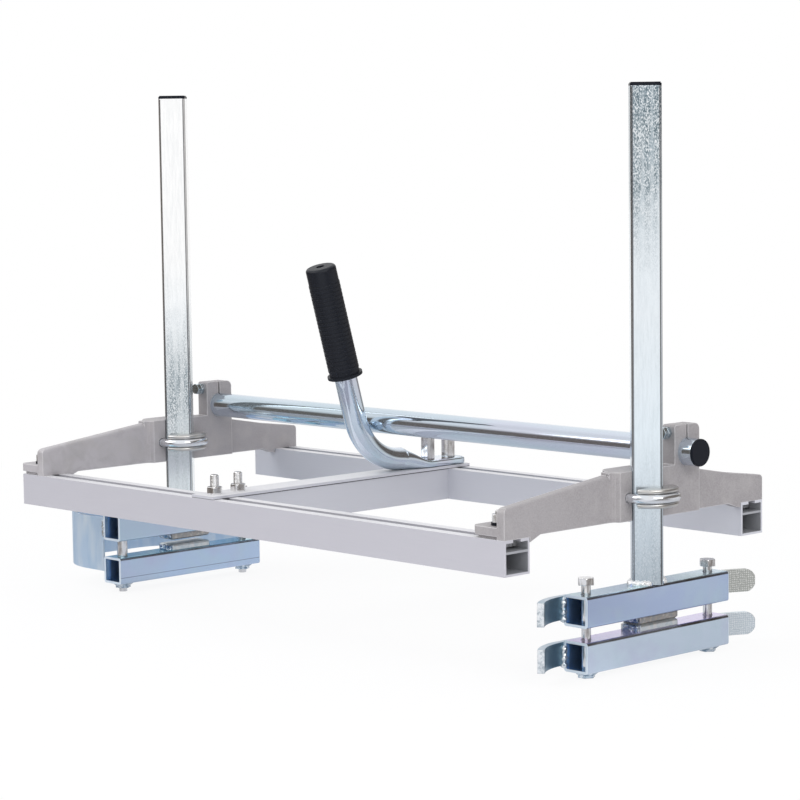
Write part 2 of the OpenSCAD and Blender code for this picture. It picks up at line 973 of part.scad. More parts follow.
// Outline from above of the nose guard's outside, drawn in by the given distance
module guard_outline(inset) {
  for (y = [guard_r, jaw_len - guard_r])
    translate([0, y])
      circle(guard_r - inset);
  translate([inset - guard_r, guard_r])
    square([guard_r, jaw_len - 2 * guard_r]);
  translate([0, inset])
    square([2 * guard_r, jaw_len - 2 * inset]);
}

// Bent sheet round the saw's nose, welded to the ends of the left upper jaw
module nose_guard() {
  step = 1;
  low = jaw_w - guard_down + step;
  color(zinc)
    translate([guard_x, jaw_y - jaw_len / 2, left_top - guard_down - guard_h])
      difference() {
        linear_extrude(guard_h)
          difference() {
            guard_outline(0);
            guard_outline(guard_t);
            translate([guard_side, -1])
              square([2 * guard_r, jaw_len + 2]);
          }
        translate([guard_side - step, -1, -1])
          cube([step + 1, jaw_len + 2, guard_h - low + 1]);
      }
}

place() rail();  // front_rail
place(0, rear_y) rail();  // rear_rail
place(brace_x) centre_brace();
place(brace_x) brace_studs();
place(brace_x) brace_nuts();
place(brace_x) handle_tube();
place(brace_x) handle_grip();
place(brace_x) handle_nuts();
place() cross_bar();
place() cross_bar_caps();

place(left_x) bracket();  // left_bracket
place(left_x) foot_studs();  // left_foot_studs
place(left_x) foot_washers();  // left_foot_washers
place(left_x) foot_nuts();  // left_foot_nuts
place(left_x) pinch_screw();  // left_pinch_screw
place(left_x) pinch_nut();  // left_pinch_nut
place(left_x) u_bolt();  // left_u_bolt
place(left_x) post_saddle();  // left_post_saddle
place(left_x) u_bolt_nuts();  // left_u_bolt_nuts

place(right_x) bracket();  // right_bracket
place(right_x) foot_studs();  // right_foot_studs
place(right_x) foot_washers();  // right_foot_washers
place(right_x) foot_nuts();  // right_foot_nuts
place(right_x) pinch_screw();  // right_pinch_screw
place(right_x) pinch_nut();  // right_pinch_nut
place(right_x) u_bolt();  // right_u_bolt
place(right_x) post_saddle();  // right_post_saddle
place(right_x) u_bolt_nuts();  // right_u_bolt_nuts

place(left_x) post(left_top);  // left_post
place(left_x) post_cap_piece();  // left_post_cap
place(left_x) upper_jaw(left_top);  // left_upper_jaw
place(left_x) upper_pad(left_top);  // left_upper_pad
place() nose_guard();
place(right_x) post(right_top);  // right_post
place(right_x) post_cap_piece();  // right_post_cap
place(right_x) upper_jaw(right_top);  // right_upper_jaw
place(right_x) upper_pad(right_top);  // right_upper_pad
place(right_x) runner(right_top);  // right_upper_runner

place(left_x) lower_jaw(left_low);  // left_lower_jaw
place(left_x) lower_pad(left_low);  // left_lower_pad
place(left_x) jaw_nuts(left_low);  // left_jaw_nuts
place(left_x) spacer();  // left_spacer
place(right_x) lower_jaw(right_low);  // right_lower_jaw
place(right_x) lower_pad(right_low);  // right_lower_pad
place(right_x) jaw_nuts(right_low);  // right_jaw_nuts
place(right_x) runner(right_low);  // right_lower_runner

place(left_x) jaw_bolt(bolt_ys[0], left_top, left_lift);  // left_front_bolt
place(left_x) jaw_bolt(bolt_ys[1], left_top, left_lift);  // left_rear_bolt
place(right_x) jaw_bolt(bolt_ys[0], right_top, right_lift);  // right_front_bolt
place(right_x) jaw_bolt(bolt_ys[1], right_top, rear_lift);  // right_rear_bolt
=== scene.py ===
import math

import bpy
import numpy as np
from mathutils import Matrix, Vector


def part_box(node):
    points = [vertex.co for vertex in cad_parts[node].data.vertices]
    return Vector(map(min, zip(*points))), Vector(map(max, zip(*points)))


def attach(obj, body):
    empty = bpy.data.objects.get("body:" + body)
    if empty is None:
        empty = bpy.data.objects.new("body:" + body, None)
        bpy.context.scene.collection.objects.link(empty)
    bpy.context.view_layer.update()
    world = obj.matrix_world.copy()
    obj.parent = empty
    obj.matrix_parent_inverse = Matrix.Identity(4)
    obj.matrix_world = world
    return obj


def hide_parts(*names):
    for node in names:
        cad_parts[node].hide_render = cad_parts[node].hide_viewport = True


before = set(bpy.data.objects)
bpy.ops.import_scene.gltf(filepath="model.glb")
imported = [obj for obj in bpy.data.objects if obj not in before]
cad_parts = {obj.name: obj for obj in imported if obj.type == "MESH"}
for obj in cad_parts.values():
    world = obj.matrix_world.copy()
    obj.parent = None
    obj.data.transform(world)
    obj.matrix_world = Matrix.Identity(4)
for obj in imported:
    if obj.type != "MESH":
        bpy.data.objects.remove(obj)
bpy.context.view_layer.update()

MM = 0.001

# Camera: a long lens in front of the mill and to its right, a little above the rails.
# Its angles, distance and aim were fitted to the edges of the rails, posts, jaws and bar.


def in_scene(name, data):
    """An object with that camera, lamp or mesh, linked into the scene."""
    made = bpy.data.objects.new(name, data)
    bpy.context.scene.collection.objects.link(made)
    return made


azimuth, elevation, roll = (math.radians(angle) for angle in (46.516, 5.714, -0.753))
aim = Vector((70.41, -14.6, 210.5)) * MM
distance = 2.4771
back = Vector((
    math.sin(azimuth) * math.cos(elevation),
    -math.cos(azimuth) * math.cos(elevation),
    math.sin(elevation),
))
level = Vector((math.cos(azimuth), math.sin(azimuth), 0))
upward = back.cross(level)
across = level * math.cos(roll) + upward * math.sin(roll)
upward = upward * math.cos(roll) - level * math.sin(roll)
facing = Matrix((across, upward, back)).transposed().to_4x4()
camera = in_scene("camera", bpy.data.cameras.new("camera"))
camera.matrix_world = Matrix.Translation(aim + back * distance) @ facing
camera.data.sensor_width = 36
camera.data.lens = 120.84
camera.data.clip_end = 60
bpy.context.scene.camera = camera
bpy.context.scene.view_settings.view_transform = "Standard"

# Studio: a pale floor that keeps a soft shadow, a white surround and two large lamps.
# Bright metal mirrors a photographer's room: white behind, dark walls to the left and right, a
# dark doorway, a white ceiling. One node group gives that tone for the world and for the floor.


def give(tree, taken, value):
    """Links an output into a node's socket, or sets the socket to a number, vector or RGB colour."""
    if isinstance(value, bpy.types.NodeSocket):
        tree.links.new(value, taken)
    elif taken.type == "RGBA":
        taken.default_value = (*value, 1.0)
    else:
        taken.default_value = value


def add(tree, kind, **values):
    """Adds a shader node. Each value is a property of it, or goes to its socket of that name."""
    made = tree.nodes.new("ShaderNode" + kind)
    for name, value in values.items():
        if hasattr(made, name):
            setattr(made, name, value)
        else:
            give(tree, made.inputs[name.replace("_", " ")], value)
    return made


def math_node(tree, operation, *values, clamp=False):
    """Adds a Math node on numbers and outputs, and returns its output."""
    made = add(tree, "Math", operation=operation, use_clamp=clamp)
    for taken, value in zip(made.inputs, values):
        give(tree, taken, value)
    return made.outputs[0]


def product(tree, first, *others):
    """Multiplies numbers and outputs together."""
    for other in others:
        first = math_node(tree, "MULTIPLY", first, other)
    return first


def vector_node(tree, operation, *values):
    """Adds a Vector Math node on vectors and outputs, and returns its vector or its number."""
    made = add(tree, "VectorMath", operation=operation)
    for taken, value in zip(made.inputs, values):
        give(tree, taken, value)
    return made.outputs["Value" if operation in ("DOT_PRODUCT", "LENGTH") else "Vector"]


def mix_colours(tree, share, first, second):
    """Adds a colour Mix node: that share of the second colour over the first one."""
    made = add(tree, "Mix", data_type="RGBA")
    for name, value in (("Factor", share), ("A", first), ("B", second)):
        give(tree, [s for s in made.inputs if s.name == name and s.enabled][0], value)
    return [s for s in made.outputs if s.enabled][0]


def ramp(tree, source, stops):
    """Adds a colour ramp over source. Its stops are (place, number or RGB colour)."""
    made = add(tree, "ValToRGB", Fac=source)
    points = made.color_ramp.elements
    while len(points) < len(stops):
        points.new(0.5)
    for point, (place, value) in zip(points, stops):
        point.position = place
        point.color = (*value, 1.0) if isinstance(value, tuple) else (value, value, value, 1.0)
    return made.outputs["Color"]


def new_group(name, inputs, outputs):
    """An empty shader node group, returned as (group, what it is given, what it puts out).

    inputs are (kind, name, default) with or without a lowest and a highest value, outputs are
    (kind, name).
    """
    group = bpy.data.node_groups.new(name, "ShaderNodeTree")
    for kind, label, default, *limits in inputs:
        made = group.interface.new_socket(name=label, in_out="INPUT", socket_type="NodeSocket" + kind)
        made.default_value = default
        if limits:
            made.min_value, made.max_value = limits
    for kind, label in outputs:
        group.interface.new_socket(name=label, in_out="OUTPUT", socket_type="NodeSocket" + kind)
    return group, group.nodes.new("NodeGroupInput").outputs, group.nodes.new("NodeGroupOutput").inputs


def effect(tree, group, **values):
    """Places a node group with its own values, and returns its outputs."""
    return add(tree, "Group", node_tree=group, **values).outputs


def axis_of(tree, vector, axis):
    """One axis of a vector."""
    return add(tree, "SeparateXYZ", Vector=vector).outputs[axis]


def to_share(tree, value):
    """Brings an output that runs from -1 to 1 to a share from 0 to 1."""
    return math_node(tree, "MULTIPLY_ADD", value, 0.5, 0.5)


# The stops say how dark the room is. aside is 0 straight behind the mill and 1 square to the
# view, climb is 0 straight down, 0.5 level and 1 straight up.
LEFT_WALL = [(0.20, 0.25), (0.38, 0.75), (0.41, 1.0), (0.61, 1.0), (0.67, 0.35), (0.74, 0.05), (0.92, 0.30)]
RIGHT_WALL = [(0.20, 0.24), (0.48, 0.26), (0.54, 0.60), (0.58, 1.0), (0.90, 1.0), (1.0, 0.6)]
DOOR_WIDTH = [(0.30, 0.0), (0.42, 1.0), (0.82, 1.0), (0.93, 0.0)]
DOOR_HEIGHT = [(0.28, 0.0), (0.38, 0.8), (0.58, 0.8), (0.68, 0.2)]
PALE_PARTS = [(0.05, (0.60, 0.63, 0.68)), (0.30, (0.78, 0.80, 0.84)), (0.44, (1.0, 1.0, 1.0))]
DARK_PARTS = (0.100, 0.075, 0.055)
room, given, result = new_group("room", [("Vector", "Way", (0, 0, 1))], [("Color", "Color")])
sideways = vector_node(room, "DOT_PRODUCT", given["Way"], (math.cos(azimuth), math.sin(azimuth), 0.0))
aside = math_node(room, "ABSOLUTE", sideways)
climb = to_share(room, axis_of(room, given["Way"], "Z"))
right_side = ramp(room, to_share(room, sideways), [(0.45, 0.0), (0.55, 1.0)])
either_wall = mix_colours(room, right_side, ramp(room, climb, LEFT_WALL), ramp(room, climb, RIGHT_WALL))
walls = product(room, ramp(room, aside, [(0.42, 0.0), (0.72, 1.0)]), either_wall)
doorway = product(room, ramp(room, aside, DOOR_WIDTH), ramp(room, climb, DOOR_HEIGHT), right_side)
dark_share = math_node(room, "MAXIMUM", walls, doorway, clamp=True)
give(room, result["Color"], mix_colours(room, dark_share, ramp(room, climb, PALE_PARTS), DARK_PARTS))

SKY = (1.0, 1.0, 1.0)
SOFT_SKY = (0.93, 0.93, 0.96)
world = bpy.data.worlds.new("studio")
bpy.context.scene.world = world
world.use_nodes = True
sky = world.node_tree
sky.nodes.clear()
mirrored = effect(sky, room, Way=add(sky, "TexCoord").outputs["Generated"])["Color"]
rays = add(sky, "LightPath").outputs
lit = mix_colours(sky, rays["Is Glossy Ray"], SOFT_SKY, mirrored)
background = add(sky, "Background", Color=mix_colours(sky, rays["Is Camera Ray"], lit, SKY), Strength=1.0)
add(sky, "OutputWorld", Surface=background.outputs[0])


def new_material(name):
    """An empty node material with a Principled shader, returned as (material, tree, shader)."""
    made = bpy.data.materials.new(name)
    made.use_nodes = True
    return made, made.node_tree, made.node_tree.nodes["Principled BSDF"]


def object_place(tree):
    """Object coordinates, which are places on the mill in metres."""
    return add(tree, "TexCoord").outputs["Object"]


def feed(tree, shader, **values):
    """Gives a shader's sockets their outputs or values, by name with _ for a space."""
    for name, value in values.items():
        give(tree, shader.inputs[name.replace("_", " ")], value)


# The floor glows white to the camera, a little less near the mill, so its shadow shows there.
# Metal sees the room in it, as from a point 22 cm above the floor.
FLOOR_HALF = 14.0
MIRROR_POINT = (0.0, 0.0, 0.22)
corners = [(x * FLOOR_HALF, y * FLOOR_HALF, 0) for x, y in ((-1, -1), (1, -1), (1, 1), (-1, 1))]
floor_mesh = bpy.data.meshes.new("floor")
floor_mesh.from_pydata(corners, [], [(0, 1, 2, 3)])
floor = in_scene("floor", floor_mesh)
paint, tree, shader = new_material("floor_paint")
feed(tree, shader, Base_Color=(0.86, 0.86, 0.87), Roughness=0.9, Specular_IOR_Level=0.0)
place = object_place(tree)
rays = add(tree, "LightPath").outputs
reach = vector_node(tree, "LENGTH", place)
fade = add(tree, "MapRange", Value=reach, clamp=True, From_Min=0.3, From_Max=1.3, To_Min=0.90, To_Max=1.0)
far_share = product(tree, fade.outputs[0], rays["Is Camera Ray"])
glow_share = math_node(tree, "ADD", far_share, rays["Is Glossy Ray"], clamp=True)
room_way = vector_node(tree, "NORMALIZE", vector_node(tree, "SUBTRACT", place, MIRROR_POINT))
glow_tone = mix_colours(tree, rays["Is Glossy Ray"], SKY, effect(tree, room, Way=room_way)["Color"])
glow = add(tree, "Emission", Color=glow_tone, Strength=1.0)
blend = add(tree, "MixShader")
for taken, source in zip(blend.inputs, (glow_share, shader.outputs[0], glow.outputs[0])):
    tree.links.new(source, taken)
tree.links.new(blend.outputs[0], tree.nodes["Material Output"].inputs["Surface"])
floor_mesh.materials.append(paint)

MILL_MIDDLE = Vector((0, 0, 0.2))


def softbox(name, position, size, power):
    """A square area lamp that faces the mill's middle."""
    lamp = in_scene(name, bpy.data.lights.new(name, "AREA"))
    lamp.data.shape = "SQUARE"
    lamp.data.size = size
    lamp.data.energy = power
    lamp.location = position
    lamp.rotation_mode = "QUATERNION"
    lamp.rotation_quaternion = (MILL_MIDDLE - Vector(position)).to_track_quat("-Z", "Y")


softbox("key_lamp", (-1.2, -2.4, 2.6), 2.4, 36)
softbox("fill_lamp", (2.6, -0.6, 1.8), 1.4, 18)

# Guide rails and centre brace: slotted aluminium extrusions, sawn to length and satin anodised.
# The skin is a pale lavender grey with faint lines along the extrusion. Painted light makes the
# tops and edges paler, and painted shade darkens the bores and lines the brace's side under its top plate.


def facing_axis(tree, axis):
    """How much a face looks along an axis, from -1 to 1."""
    return axis_of(tree, add(tree, "NewGeometry").outputs["Normal"], axis)


# soft_edges rounds the corners to the eye and masks them.
EDGE_GAIN = 6.0
soft_edges, given, result = new_group(
    "soft_edges",
    [("Float", "Radius", 0.0006, 0.0, 0.01)],
    [("Vector", "Normal"), ("Float", "Edge")],
)
rounded = add(soft_edges, "Bevel", Radius=given["Radius"], samples=8).outputs[0]
straight = add(soft_edges, "NewGeometry").outputs["Normal"]
turned = math_node(soft_edges, "SUBTRACT", 1.0, vector_node(soft_edges, "DOT_PRODUCT", rounded, straight))
give(soft_edges, result["Normal"], rounded)
give(soft_edges, result["Edge"], math_node(soft_edges, "MULTIPLY", turned, EDGE_GAIN, clamp=True))

# grain is a fine grit, drawn out along an axis where Stretch is small.
grain, given, result = new_group(
    "grain",
    [
        ("Float", "Size", 0.001, 0.0001, 0.1),
        ("Float", "Depth", 0.0001, 0.0, 0.01),
        ("Vector", "Stretch", (1, 1, 1)),
        ("Vector", "Normal", (0, 0, 0)),
    ],
    [("Float", "Grit"), ("Vector", "Normal")],
)
stretched = vector_node(grain, "MULTIPLY", object_place(grain), given["Stretch"])
fine = math_node(grain, "DIVIDE", 1.0, given["Size"])
grit = add(grain, "TexNoise", Vector=stretched, Scale=fine, Detail=3.0, Roughness=0.6).outputs[0]
bump = add(grain, "Bump", Height=grit, Distance=given["Depth"], Normal=given["Normal"], Strength=1.0)
give(grain, result["Grit"], grit)
give(grain, result["Normal"], bump.outputs[0])


def inside_tube(tree, centre, half, axes):
    """1 in a tube's bore, 0 outside: each named axis lies within its half width of the centre."""
    offset = vector_node(tree, "SUBTRACT", object_place(tree), centre)
    off = add(tree, "SeparateXYZ", Vector=vector_node(tree, "ABSOLUTE", offset)).outputs
    return product(tree, *[math_node(tree, "LESS_THAN", off[axis], reach) for axis, reach in zip(axes, half)])


def level_line(tree, height, half):
    """1 on a level line round a piece, at a height and with half a width in metres."""
    off = math_node(tree, "SUBTRACT", axis_of(tree, object_place(tree), "Z"), height)
    return math_node(tree, "LESS_THAN", math_node(tree, "ABSOLUTE", off), half)


def finish_node(node, material):
    """Gives a CAD node one material."""
    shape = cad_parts[node]
    if not shape.material_slots:
        shape.data.materials.append(material)
    for taken in shape.material_slots:
        taken.material = material


# The rear rail and the brace get lighter copies of the front rail's skin: painted light against the shade
# they stand in behind the front rail.
FRONT_SKIN = ((0.545, 0.54, 0.585), (0.59, 0.585, 0.625))
REAR_SKIN = ((0.60, 0.61, 0.66), (0.64, 0.65, 0.695))
BRACE_SKIN = ((0.58, 0.585, 0.63), (0.62, 0.625, 0.665))
EDGE_HIGHLIGHT_SKIN = (0.78, 0.78, 0.81)
TOP_PAINTED_LIGHT = (0.74, 0.74, 0.755)
BORE_PAINTED_SHADE = (0.37, 0.38, 0.40)
SHADOW_LINE_DARK = (0.10, 0.10, 0.11)
SHADOW_LINE_HALF = 0.5 * MM


def anodised(name, skin, bore, stretch, shadow_height=None):
    """Satin anodised extrusion with painted light: paler on top, a painted highlight on its edges,
    painted shade in its bore and a painted shadow line at that height.

    skin is two tones, bore is what inside_tube needs and stretch draws the lines out.
    """
    material, tree, shader = new_material(name)
    edges = effect(tree, soft_edges, Radius=0.0004)
    lines = effect(tree, grain, Normal=edges["Normal"], Size=0.0009, Depth=0.00002, Stretch=stretch)
    tone = mix_colours(tree, lines["Grit"], *skin)
    # Painted highlight: the rounded edges are mixed toward a paler grey.
    tone = mix_colours(tree, edges["Edge"], tone, EDGE_HIGHLIGHT_SKIN)
    # Painted light: faces that look up are mixed toward a paler grey, as light falls from above.
    tone = mix_colours(tree, ramp(tree, facing_axis(tree, "Z"), [(0.80, 0.0), (0.97, 0.9)]), tone, TOP_PAINTED_LIGHT)
    # Painted shade: the bore is mixed toward a darker grey.
    tone = mix_colours(tree, inside_tube(tree, *bore), tone, BORE_PAINTED_SHADE)
    # Painted shadow: a dark line round the piece at that height, under the brace's top plate.
    if shadow_height:
        tone = mix_colours(tree, level_line(tree, shadow_height, SHADOW_LINE_HALF), tone, SHADOW_LINE_DARK)
    sheen = ramp(tree, lines["Grit"], [(0.3, 0.42), (0.7, 0.54)])
    feed(tree, shader, Base_Color=tone, Roughness=sheen, Normal=lines["Normal"], Metallic=0.2)
    return material


# A rail's bore runs from its floor to the underside of the slot's lips.
MARGIN = 0.1 * MM
RAIL_WALL = 2.0 * MM
LIPS_UNDERSIDE = 27.6 * MM
rail_bore_high = LIPS_UNDERSIDE - RAIL_WALL
for name, skin in (("front_rail", FRONT_SKIN), ("rear_rail", REAR_SKIN)):
    low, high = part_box(name)
    middle = (low + high) / 2
    centre = (middle.x, middle.y, low.z + RAIL_WALL + rail_bore_high / 2)
    half = ((high.y - low.y) / 2 - RAIL_WALL + MARGIN, rail_bore_high / 2 + MARGIN)
    finish_node(name, anodised(name + "_skin", skin, (centre, half, ("Y", "Z")), (0.02, 1, 1)))

BRACE_BORE_MIDDLE = 16.0 * MM
BRACE_BORE_HALF = (12.0 * MM + MARGIN, 14.0 * MM + MARGIN)
BRACE_PLATE = 3.0 * MM
low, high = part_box("centre_brace")
middle = (low + high) / 2
brace_bore = ((middle.x, middle.y, low.z + BRACE_BORE_MIDDLE), BRACE_BORE_HALF, ("X", "Z"))
brace_skin = anodised("brace_skin", BRACE_SKIN, brace_bore, (1, 0.02, 1), shadow_height=high.z - BRACE_PLATE)
finish_node("centre_brace", brace_skin)

# Clamp brackets: sand-cast aluminium, fettled and shot-blasted to a warm mid grey.
# The two are one casting used twice. Fine grit covers them and the edges get a painted highlight.
# Painted light and shade make the left one lighter than the right, and both darker toward the rear.

# bloom is cloudy colour: patches of a cool and a warm tone over the main one.
SECOND_CLOUDS = (3.1, 1.7, 5.3)
bloom, given, result = new_group(
    "bloom",
    [
        ("Color", "Main", (0.6, 0.66, 0.74, 1)),
        ("Color", "Cool", (0.5, 0.66, 0.72, 1)),
        ("Color", "Warm", (0.66, 0.60, 0.76, 1)),
        ("Float", "Size", 0.03, 0.001, 1.0),
        ("Float", "Amount", 0.6, 0.0, 1.0),
        ("Vector", "Stretch", (1, 1, 1)),
    ],
    [("Color", "Color"), ("Float", "Cloud")],
)
stretched = vector_node(bloom, "MULTIPLY", object_place(bloom), given["Stretch"])
shifted = vector_node(bloom, "ADD", stretched, SECOND_CLOUDS)
coarse = math_node(bloom, "DIVIDE", 1.0, given["Size"])
clouds = add(bloom, "TexNoise", Vector=stretched, Scale=coarse, Detail=4.0, Roughness=0.55, Distortion=0.6)
others = add(bloom, "TexNoise", Vector=shifted, Scale=coarse, Detail=3.0, Roughness=0.5)
cool_share = product(bloom, ramp(bloom, clouds.outputs[0], [(0.42, 0.0), (0.66, 1.0)]), given["Amount"])
warm_share = product(bloom, ramp(bloom, others.outputs[0], [(0.48, 0.0), (0.70, 1.0)]), given["Amount"])
cooled = mix_colours(bloom, cool_share, given["Main"], given["Cool"])
give(bloom, result["Color"], mix_colours(bloom, warm_share, cooled, given["Warm"]))
give(bloom, result["Cloud"], clouds.outputs[0])

CAST_DARK = (0.32, 0.30, 0.305)
CAST_WARM = (0.43, 0.41, 0.405)
CAST_GRIT = (0.47, 0.455, 0.46)
CAST_EDGE_HIGHLIGHT = (0.74, 0.73, 0.73)


def blasted(name, front, rear):
    """Shot-blasted casting: cloudy grey with a fine grit, going from the front tone to the rear tone,
    which are painted light and shade.
    """
    material, tree, shader = new_material(name)
    edges = effect(tree, soft_edges, Radius=0.0014)
    grit = effect(tree, grain, Normal=edges["Normal"], Size=0.0010, Depth=0.00010)
    backward = math_node(tree, "ADD", axis_of(tree, object_place(tree), "Y"), 0.5)
    between = tuple(0.6 * a + 0.4 * b for a, b in zip(front, rear))
    main = ramp(tree, backward, [(0.36, front), (0.46, between), (0.56, rear)])
    broad = effect(tree, bloom, Main=main, Cool=CAST_DARK, Warm=CAST_WARM, Size=0.02, Amount=0.6)
    tone = mix_colours(tree, ramp(tree, grit["Grit"], [(0.35, 0.0), (0.65, 0.6)]), broad["Color"], CAST_GRIT)
    # Painted highlight: the rounded edges are mixed toward a pale grey.
    tone = mix_colours(tree, product(tree, edges["Edge"], 0.9), tone, CAST_EDGE_HIGHLIGHT)
    feed(tree, shader, Base_Color=tone, Normal=grit["Normal"], Metallic=0.2, Roughness=0.55)
    return material


# Painted light and shade: the left bracket is lighter than the right, and both darken toward the rear.
finish_node("left_bracket", blasted("left_casting", (0.51, 0.49, 0.51), (0.335, 0.32, 0.335)))
finish_node("right_bracket", blasted("right_casting", (0.365, 0.345, 0.352), (0.31, 0.29, 0.295)))

# Posts: galvanised square tubes that stand edge-on in the brackets' V seats.
# The zinc has dark specks and runs: at the right post's top and foot, and low down on the left one.
RUN_DARK = (0.30, 0.38, 0.42)
FROST = {"Main": (0.42, 0.48, 0.51), "Cool": (0.22, 0.30, 0.35), "Warm": (0.66, 0.69, 0.71)}
DARK_SPECK = (0.12, 0.17, 0.20)
BRIGHT_SPECK = (0.98, 0.99, 1.0)
CORNER_PAINTED_REFLECTION = (0.10, 0.10, 0.12)
FACE_WAY = (math.sqrt(0.5), math.sqrt(0.5), 0.0)
CORNER_REFLECTION_LINES = [
    (0.08, 0.0), (0.20, 0.85), (0.42, 0.60), (0.55, 0.15),
    (0.80, 0.15), (0.93, 0.60), (0.975, 0.85), (0.995, 0.0),
]


def by_height(tree, height, stops):
    """A ramp over a height, with its stops in metres up to half a metre."""
    return ramp(tree, product(tree, height, 2.0), [(2 * at, value) for at, value in stops])


def drawn_noise(tree, upright, **values):
    """Noise on Object coordinates with z times upright, so its spots are taller than wide."""
    place = vector_node(tree, "MULTIPLY", object_place(tree), (1.0, 1.0, upright))
    return add(tree, "TexNoise", Vector=place, **values).outputs[0]


def galvanised(name, tones, stops):
    """Galvanised tube: smooth zinc whose tone goes by height, with frosty specks whose share does too.

    tones and stops are lists of (metres, colour) and (metres, share). The dark lines beside the
    long corners are a painted dark reflection, and go by how much a place on the rounded corner
    looks the way that a face does.
    """
    material, tree, shader = new_material(name)
    edges = effect(tree, soft_edges, Radius=0.0014)
    up = axis_of(tree, object_place(tree), "Z")
    patch = add(tree, "TexNoise", Vector=object_place(tree), Scale=26.0, Detail=3.0).outputs[0]
    drift = math_node(tree, "MULTIPLY_ADD", patch, 0.10, -0.05)
    share = by_height(tree, math_node(tree, "ADD", up, drift), stops)
    streaks = drawn_noise(tree, 0.12, Scale=420.0, Detail=3.0, Roughness=0.6)
    specks = drawn_noise(tree, 0.55, Scale=1050.0, Detail=2.0, Roughness=0.7)
    columns = drawn_noise(tree, 0.05, Scale=190.0, Detail=2.0)
    zinc = by_height(tree, up, tones)
    zinc = mix_colours(tree, ramp(tree, streaks, [(0.35, 0.09), (0.60, 0.0)]), zinc, RUN_DARK)
    cloud = effect(tree, bloom, Size=0.007, Amount=0.9, Stretch=(1, 1, 0.22), **FROST)
    tone = mix_colours(tree, share, zinc, mix_colours(tree, 0.7, zinc, cloud["Color"]))
    heavy = ramp(tree, columns, [(0.43, 0.2), (0.57, 1.0)])
    dark = product(tree, ramp(tree, specks, [(0.42, 1.0), (0.54, 0.0)]), share, heavy)
    tone = mix_colours(tree, dark, tone, DARK_SPECK)
    bright = product(tree, ramp(tree, specks, [(0.54, 0.0), (0.64, 0.85)]), share)
    tone = mix_colours(tree, bright, tone, BRIGHT_SPECK)
    # Painted reflection: dark lines beside the rounded long corners.
    facing = vector_node(tree, "DOT_PRODUCT", add(tree, "NewGeometry").outputs["Normal"], FACE_WAY)
    tone = mix_colours(tree, ramp(tree, math_node(tree, "ABSOLUTE", facing), CORNER_REFLECTION_LINES), tone, CORNER_PAINTED_REFLECTION)
    rough = add(tree, "Bump", Height=specks, Normal=edges["Normal"], Distance=0.0003)
    give(tree, rough.inputs["Strength"], math_node(tree, "MULTIPLY_ADD", share, 0.4, 0.01))
    sheen = math_node(tree, "MULTIPLY_ADD", share, 0.10, 0.20)
    feed(tree, shader, Base_Color=tone, Normal=rough.outputs[0], Roughness=sheen, Metallic=0.9)
    return material


right_tones = [
    (0.08, (0.60, 0.68, 0.75)), (0.12, (0.66, 0.74, 0.81)), (0.20, (0.80, 0.88, 0.94)),
    (0.30, (0.83, 0.88, 0.92)), (0.45, (0.78, 0.84, 0.88)),
]
left_tones = [
    (0.14, (0.92, 0.98, 1.0)), (0.20, (0.88, 0.92, 0.94)),
    (0.27, (0.95, 0.98, 1.0)), (0.33, (1.0, 1.0, 1.0)),
]
right_specks = [
    (0.08, 0.22), (0.12, 0.14), (0.20, 0.05), (0.335, 0.04),
    (0.375, 0.25), (0.41, 0.8), (0.47, 1.0),
]
left_specks = [
    (0.12, 0.12), (0.15, 0.35), (0.19, 0.75), (0.24, 0.5),
    (0.28, 0.15), (0.31, 0.03), (0.49, 0.0),
]
finish_node("right_post", galvanised("right_post_zinc", right_tones, right_specks))
finish_node("left_post", galvanised("left_post_zinc", left_tones, left_specks))

# Jaws: square tubes, bright zinc plated with a blue passivation that turns lilac and teal in places.
# The sides are smooth, the upper corners carry a painted brown-dark reflection, the sawn ends
# show a paler rim and the bores are painted a deeper blue as shade. Welded under the lower ones
# are the nuts of the jaw bolts.
ZINC_EDGE_HIGHLIGHT = (0.85, 0.88, 0.92)
SEAM_GREY = (0.32, 0.38, 0.47)
SEAM_HALF = 0.35 * MM
REFLECTION_BROWN = (0.085, 0.070, 0.060)
BORE_SHADE_BLUE = (0.32, 0.52, 0.80)
SAWN_RIM = 0.35 * MM
SAWN_PALE = (0.74, 0.83, 0.90)


def top_share(tree, cloud):
    """The share of the top tone: on faces that look up, less where the plating's cloud is thin."""
    looks_up = ramp(tree, facing_axis(tree, "Z"), [(0.60, 0.0), (0.95, 1.0)])
    return product(tree, looks_up, ramp(tree, cloud, [(0.30, 0.45), (0.60, 1.0)]))


def corner_reflection_share(tree, cloud, corner_reflection):
    """The share of painted brown-dark reflection on rounded corners that look sideways and a little up, in
    patches.
    """
    outward = ramp(tree, math_node(tree, "ABSOLUTE", facing_axis(tree, "X")), [(0.30, 0.0), (0.50, 1.0)])
    a_little_up = ramp(tree, facing_axis(tree, "Z"), [(0.04, 0.0), (0.16, 1.0)])
    return product(tree, outward, a_little_up, ramp(tree, cloud, [(0.35, 0.55 * corner_reflection), (0.55, corner_reflection)]))


def sawn_share(tree, cuts):
    """1 within a rim's width of the two y planes where a tube is sawn off."""
    off = math_node(tree, "SUBTRACT", axis_of(tree, object_place(tree), "Y"), sum(cuts) / 2)
    rim_from = (cuts[1] - cuts[0]) / 2 - SAWN_RIM
    return math_node(tree, "GREATER_THAN", math_node(tree, "ABSOLUTE", off), rim_from)


